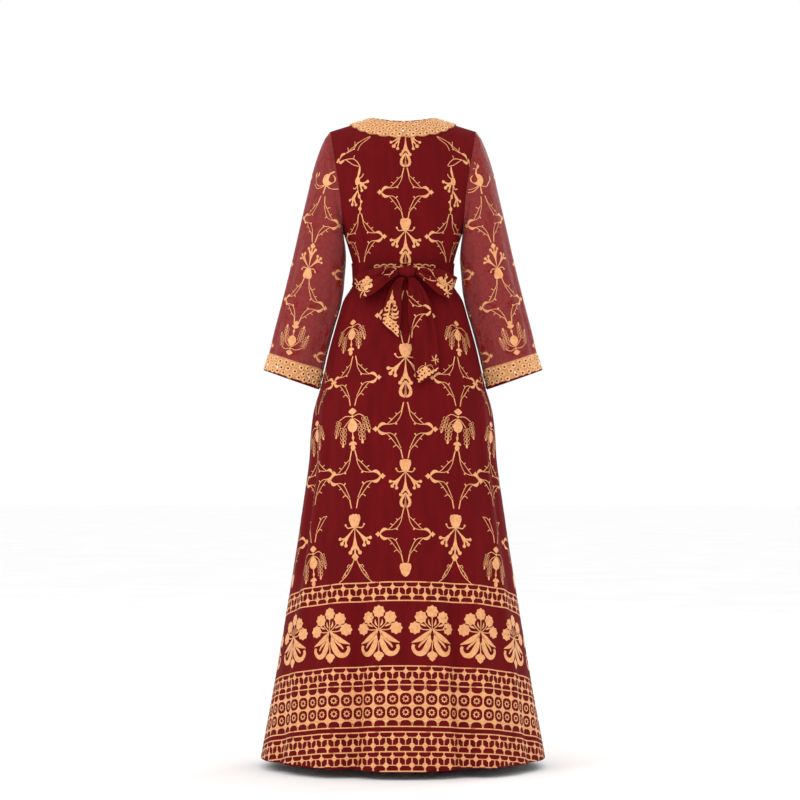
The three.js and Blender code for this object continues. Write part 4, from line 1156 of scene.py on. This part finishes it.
# How much of its width the belt loses at the knot, and over how many degrees.
GATHER_DEPTH = 0.22
GATHER_SPREAD = 22
BELT_CREASES = (
    (-118, -8, -12, 2, 4, 1.1), (-104, 8, -14, 5, 3.5, -1.0), (14, 3, 112, -10, 4, 1.1),
    (16, 6, 98, 12, 3.5, -1.0), (-92, -16, -20, -4, 4, -0.9), (20, -4, 88, -17, 4, -0.9),
    (-236, -6, -150, 4, 4, 0.9), (150, 5, 240, -7, 4, 0.9), (-330, 8, -262, -5, 4, -0.8),
)

sash_crepe = crepe("maroon_sash_crepe", "590509", "67090d")


def body_points(angles, z, lift):
    """Points all round the body, lifted off it."""
    half_width, back = section(z, "back")
    at_back = np.cos(np.radians(angles)) >= 0
    x, y = level_section(angles, half_width, np.where(at_back, back, section(z, "front")[1]))
    radius = np.hypot(x, y)
    return np.stack([x + x / radius * lift, y + y / radius * lift, z + 0 * x], axis=-1)


angles = np.linspace(180, -180, 181)[:-1][None, :]
z = np.linspace(*BELT_Z, 15)[:, None]
gather = 1 - GATHER_DEPTH * np.exp(-((angles / GATHER_SPREAD) ** 2))
points = body_points(angles, BELT_MIDDLE + (z - BELT_MIDDLE) * gather, BELT_LIFT + SASH_WALL)
closed = closed_up(points)
row, centre_back = closed.shape[0] // 2, closed.shape[1] // 2
around = lengths_along(closed[row:row + 1], 1)
flat = np.stack([around - around[:, [centre_back]] + 0 * closed[:, :, 0],
                 closed[:, :, 2] - BELT_MIDDLE], axis=-1)
points = creased(points, flat, BELT_CREASES, wraps=True)
belt = cloth_sheet("belt_cloth", points, flat, wraps=True)
belt.data.materials.append(sash_crepe)
belt_print = lay("belt_print", belt, (dies, die_names),
                 [("scallop_link", 4 + 15.4 * i, 14.2 - 0.07 * i * i, -2.5 * i,
                   1.0 - 0.04 * abs(i)) for i in range(-4, 5)], gold_pigment)
finish_cloth(belt, "belt", SASH_WALL)
declare_cloth(belt)


# ---- Bow ----------------------------------------------------------------------------
# The rest of the sash, tied at the centre back: a knot, two loops that turn back on
# themselves and two tails with slanted ends edged in gold net, the right one longer.
KNOT_X, KNOT_Z = -9, -339
KNOT_HEIGHT, KNOT_WIDE, KNOT_TALL, KNOT_THICK = 11.4, 19, 12, 11
KNOT_END = 0.32  # how much of its half turn the knot leaves out at each end, in radians
LOOP_CROWN = 4
# How deep the pleats are where a loop enters the knot, and over what share of its length.
PLEAT_DEPTH = 1.2
PLEAT_SHARE = 0.13
TAIL_FOLD = 2.2
BOW_FLATTENED = 0.8

BOW_LOOP = np.array([
    # step, out, down, height, half width, tilt
    (0, 19.8, 0, 15.5, 7, 0), (1, 33, 2, 22, 12, 8), (2, 54, 11, 30, 20, 14),
    (3, 80, 24, 31, 26, 18), (4, 103, 34, 26, 27, 18), (5, 112, 37, 17, 26, 17),
    (6, 104, 34, 8.5, 25, 16), (7, 82, 25, 6.5, 23, 14), (8, 56, 12, 9, 18, 10),
    (9, 33, 3, 10, 11.5, 6), (10, 19.8, 0, 9, 7, 0),
], dtype=float)
BOW_TAILS = {
    "left": np.array([
        # step, x, z, half width, height, slant
        (0, 2, -351.7, 6, 12, 0), (1, 12, -368, 10, 8, 1), (2, 19, -398, 16, 6, 3),
        (3, 24, -432, 19, 6, 9), (4, 28, -470, 20, 6, 18)], dtype=float),
    "right": np.array([
        (0, -17, -351.7, 6, 12, 0), (1, -25, -366, 13, 7.5, 0), (2, -33, -400, 22, 6, -1),
        (3, -39, -446, 26.5, 6, -3), (4, -48, -510, 27.5, 6, -8), (5, -54, -573, 23.5, 6, -15.5)],
        dtype=float),
}
LOOP_CREASES = (
    # Along the strip from the knot, then across it.
    (0, 3, 90, 18, 3.6, 5.0), (0, 1, 76, 6, 3.0, -4.2), (0, -1, 80, -7, 3.4, 4.6),
    (0, -3, 68, -19, 3.4, -4.0), (4, 5, 56, 25, 3, -3.4), (8, -5, 92, -25, 4, 3.0),
    (50, 12, 106, 14, 6, -2.4), (56, -10, 102, -2, 6, 2.4), (256, 3, 192, 10, 3.5, 2.6),
    (256, -3, 196, -12, 3.5, -2.4),
)
TAIL_CREASES = {
    "left": ((-3, 2, -10, -70, 3.4, 2.2), (0, 2, 1, -74, 3.4, -2.2), (4, 0, 11, -96, 3.6, 2.2),
             (-9, -34, -17, -104, 4.2, -1.6), (13, -50, 16, -130, 4.0, -1.4)),
    "right": ((-5, 2, -15, -120, 4.2, 3.2), (0, 2, -2, -130, 4.0, -3.2),
              (5, 0, 12, -160, 4.6, 3.0), (-13, -40, -22, -200, 5.0, -2.6),
              (11, -60, 20, -200, 5.0, -2.4), (3, -120, 3, -200, 6, 2.0)),
}


def bow_base(x, z):
    """How far back the belt's outside is at a place, flattened towards the sides."""
    half_width, back = section(z, "back")
    return back * section_share(BOW_FLATTENED * x, half_width) + BELT_LIFT + SASH_WALL


def knot_points():
    """The wrap round the middle of the bow, as a tube with a groove where its edges pass."""
    sweep = np.linspace(KNOT_END, math.pi - KNOT_END, 31)[None, :]
    turn = np.linspace(0, 2 * math.pi, 49)[:-1][:, None]
    groove = (1 - 0.07 * np.cos(3 * sweep + 2 * turn) - 0.06 * np.cos(9 * sweep - 1.0 * turn)
              + 0.04 * np.sin(14 * sweep + 2 * turn))
    reach = np.sin(sweep) ** 0.7 * groove
    base = bow_base(KNOT_X, KNOT_Z) + KNOT_HEIGHT
    grid = np.stack([KNOT_X + KNOT_WIDE * np.cos(sweep) / math.cos(KNOT_END) + 0 * turn,
                     base + KNOT_THICK * reach * np.cos(turn),
                     KNOT_Z + KNOT_TALL * reach * np.sin(turn)], axis=-1)
    return grid.transpose(1, 0, 2)[:, ::-1]


def loop_points(direction, reach):
    """Grid and flat map of a loop, a strip that runs out and back. It has a crown on the
    way out and is pinched where it enters the knot."""
    last = BOW_LOOP[-1, 0]
    steps = np.linspace(0, last, 89)[None, :]
    out, down, height, half, tilt = np.moveaxis(curve_through(BOW_LOOP, steps), -1, 0)
    share, w = steps / last, np.linspace(-1, 1, 25)[:, None]
    tilt = np.radians(tilt)
    far = BOW_LOOP[0, 1] + (out - BOW_LOOP[0, 1]) * reach + half * w * np.sin(tilt)
    x, z = KNOT_X + direction * far, KNOT_Z - down + half * w * np.cos(tilt)
    crown = np.where(share < 0.5, LOOP_CROWN * (1 - w * w) * np.sin(2 * math.pi * share), 0)
    near = np.exp(-((np.minimum(share, 1 - share) / PLEAT_SHARE) ** 2))
    y = bow_base(x, z) + height + crown + PLEAT_DEPTH * near * np.cos(3 * math.pi * w)
    points = np.stack([x, y, z], axis=-1)
    row = points.shape[0] // 2
    along = lengths_along(points[row:row + 1], 1) + 0 * points[:, :, 0]
    flat = np.stack([along, half * w], axis=-1)
    if direction > 0:
        points, flat = points[:, ::-1], flat[:, ::-1]
        flat = flat * (-1, 1)
    return points, flat


def tail_points(table):
    """Grid and flat map of a tail, rows from its slanted end up to the knot."""
    steps = np.linspace(table[-1, 0], 0, 61)[:, None]
    x, z, half, height, slant = np.moveaxis(curve_through(table, steps), -1, 0)
    w = np.linspace(1, -1, 31)[None, :]
    fold = TAIL_FOLD * np.cos(2 * math.pi * w) * np.minimum(1, 2.5 * steps / table[-1, 0])
    x, z = x + half * w, z + slant * w
    points = np.stack([x, bow_base(x, z) + height + fold, z], axis=-1)
    column = points.shape[1] // 2
    down = lengths_along(points[::-1, column:column + 1], 0)[::-1]
    flat = np.stack([-half * w, slant * w - down], axis=-1)
    return points, flat


def sash_piece(node, points, flat, table, layout, wraps=False, offset=0):
    """One piece of the sash with its creases, its print and its wall."""
    piece = cloth_sheet(f"{node}_cloth", creased(points, flat, table, wraps), flat, wraps)
    piece.data.materials.append(sash_crepe)
    prints = [lay(f"{node}_print", piece, (dies, die_names), layout, gold_pigment,
                  0.5 + SASH_WALL / 2)] if layout else []
    finish_cloth(piece, node, SASH_WALL, offset)
    declare_cloth(piece)
    return piece


points = knot_points()
closed = closed_up(points)
around = lengths_along(closed, 1)[closed.shape[0] // 2]
flat = np.stack([around + 0 * closed[:, :, 0], closed[:, :, 0]], axis=-1)
knot = sash_piece("bow_knot", points, flat, (), [], wraps=True, offset=-1)

# The figures' places run along the strip from the knot. The left loop's vine is shorter.
LOOP_PRINT = {
    "left": [("thorny_vine", 38, 3, -4, 0.74), ("posy", 76, 0, 10, 1.1),
             ("spray", 88, -12, 20, 0.95), ("spray", 99, 6, 140, 0.85), ("ogee", 165, 0, 90, 0.5)],
    "right": [("thorny_vine", 6, 3, -6, 1.1), ("posy", 64, -2, 40, 0.95),
              ("spray", 74, 2, 60, 1.15), ("spray", 84, -14, 10, 0.9), ("spray", 92, 10, 80, 0.7),
              ("ogee", 165, 0, 90, 0.5)],
}
for side, direction, reach in (("left", 1, 0.97), ("right", -1, 0.88)):
    points, flat = loop_points(direction, reach)
    table, layout = LOOP_CREASES, LOOP_PRINT[side]
    if direction > 0:
        table = [(-a, b, -c, d, e, f) for a, b, c, d, e, f in table]
        layout = [(name, -x, y, -turn, size) for name, x, y, turn, size in layout]
    sash_piece(f"bow_loop_{side}", points, flat, table, layout)

# The net runs along the slanted end of each tail, in rows from its corner.
TAIL_PRINT = {
    "left": [("acanthus", -3, -92, 3, 0.9)]
    + [("lace", -20 + 6.5 * i + 5.9 * j, -115.4 - 5.85 * i + 6.5 * j, -42, 0.88) for i in range(8)
       for j in range(3) if i + j < 9],
    "right": [("ogee", -31, -84, 0, 1.0), ("spray", 20, -194, 30, 0.62),
              ("disc", -3, -216, 0, 0.5)]
    + [("lace", -22 + 7.3 * i - 4.8 * j, -246 + 4.8 * i + 7.3 * j, 33, 0.88) for i in range(7)
       for j in range(3) if j == 0 or j < i + 1 and i + j < 6],
}
for side in ("left", "right"):
    points, flat = tail_points(BOW_TAILS[side])
    sash_piece(f"bow_tail_{side}", points, flat, TAIL_CREASES[side], TAIL_PRINT[side])


# ---- Studio -------------------------------------------------------------------------
# A pale floor just under the hem, a white surround and large soft lamps, seen from the
# photo's side, the garment's back, through a long lens at hip height.
DISTANCE = 6.0
WIDTH_SEEN = 1.76
LENS_HEIGHT = -0.735
PHOTO_SIDE = 800
FLOOR = -1.421
FLOOR_REACH = 30
LAMPS_AIM = Vector((0, 0, -0.6))

floor_mesh = bpy.data.meshes.new("floor")
floor_mesh.from_pydata([(x * FLOOR_REACH, y * FLOOR_REACH, FLOOR)
                        for x, y in ((-1, -1), (1, -1), (1, 1), (-1, 1))], [], [(0, 1, 2, 3)])
floor = placed("floor", floor_mesh)
floor_paint, tree, place = new_material("pale_floor")
grain = noise(tree, place, 3.0)
finish_material(tree, {
    "Base Color": two_colours(tree, grain.outputs["Fac"], "fbfbfb", "ffffff"),
    "Roughness": 0.9, "Specular IOR Level": 0.1})
floor_mesh.materials.append(floor_paint)

world = bpy.data.worlds.new("studio")
world.use_nodes = True
world.node_tree.nodes["Background"].inputs["Color"].default_value = (1, 1, 1, 1)
world.node_tree.nodes["Background"].inputs["Strength"].default_value = 1.0
bpy.context.scene.world = world
bpy.context.scene.view_settings.view_transform = "Standard"

LAMPS = (
    # name, place, size, watts
    ("key", (2.8, 2.7, 1.5), 1.8, 42),
    ("fill", (-2.4, 3.0, 0.4), 2.4, 8),
    ("front_key", (-2.6, -2.9, 1.5), 1.8, 38),
)
for name, place, size, watts in LAMPS:
    lamp = bpy.data.lights.new(name, "AREA")
    lamp.size = size
    lamp.energy = watts
    holder = placed(name, lamp)
    holder.location = place
    holder.rotation_euler = (LAMPS_AIM - Vector(place)).to_track_quat("-Z", "Y").to_euler()

lens = bpy.data.cameras.new("view")
lens.sensor_width = 36.0
lens.lens = lens.sensor_width * DISTANCE / WIDTH_SEEN
lens.shift_x, lens.shift_y = -3 / PHOTO_SIDE, 54 / PHOTO_SIDE
camera = placed("view", lens)
camera.location = (0, DISTANCE, LENS_HEIGHT)
camera.rotation_euler = (math.pi / 2, 0, math.pi)
bpy.context.scene.camera = camera
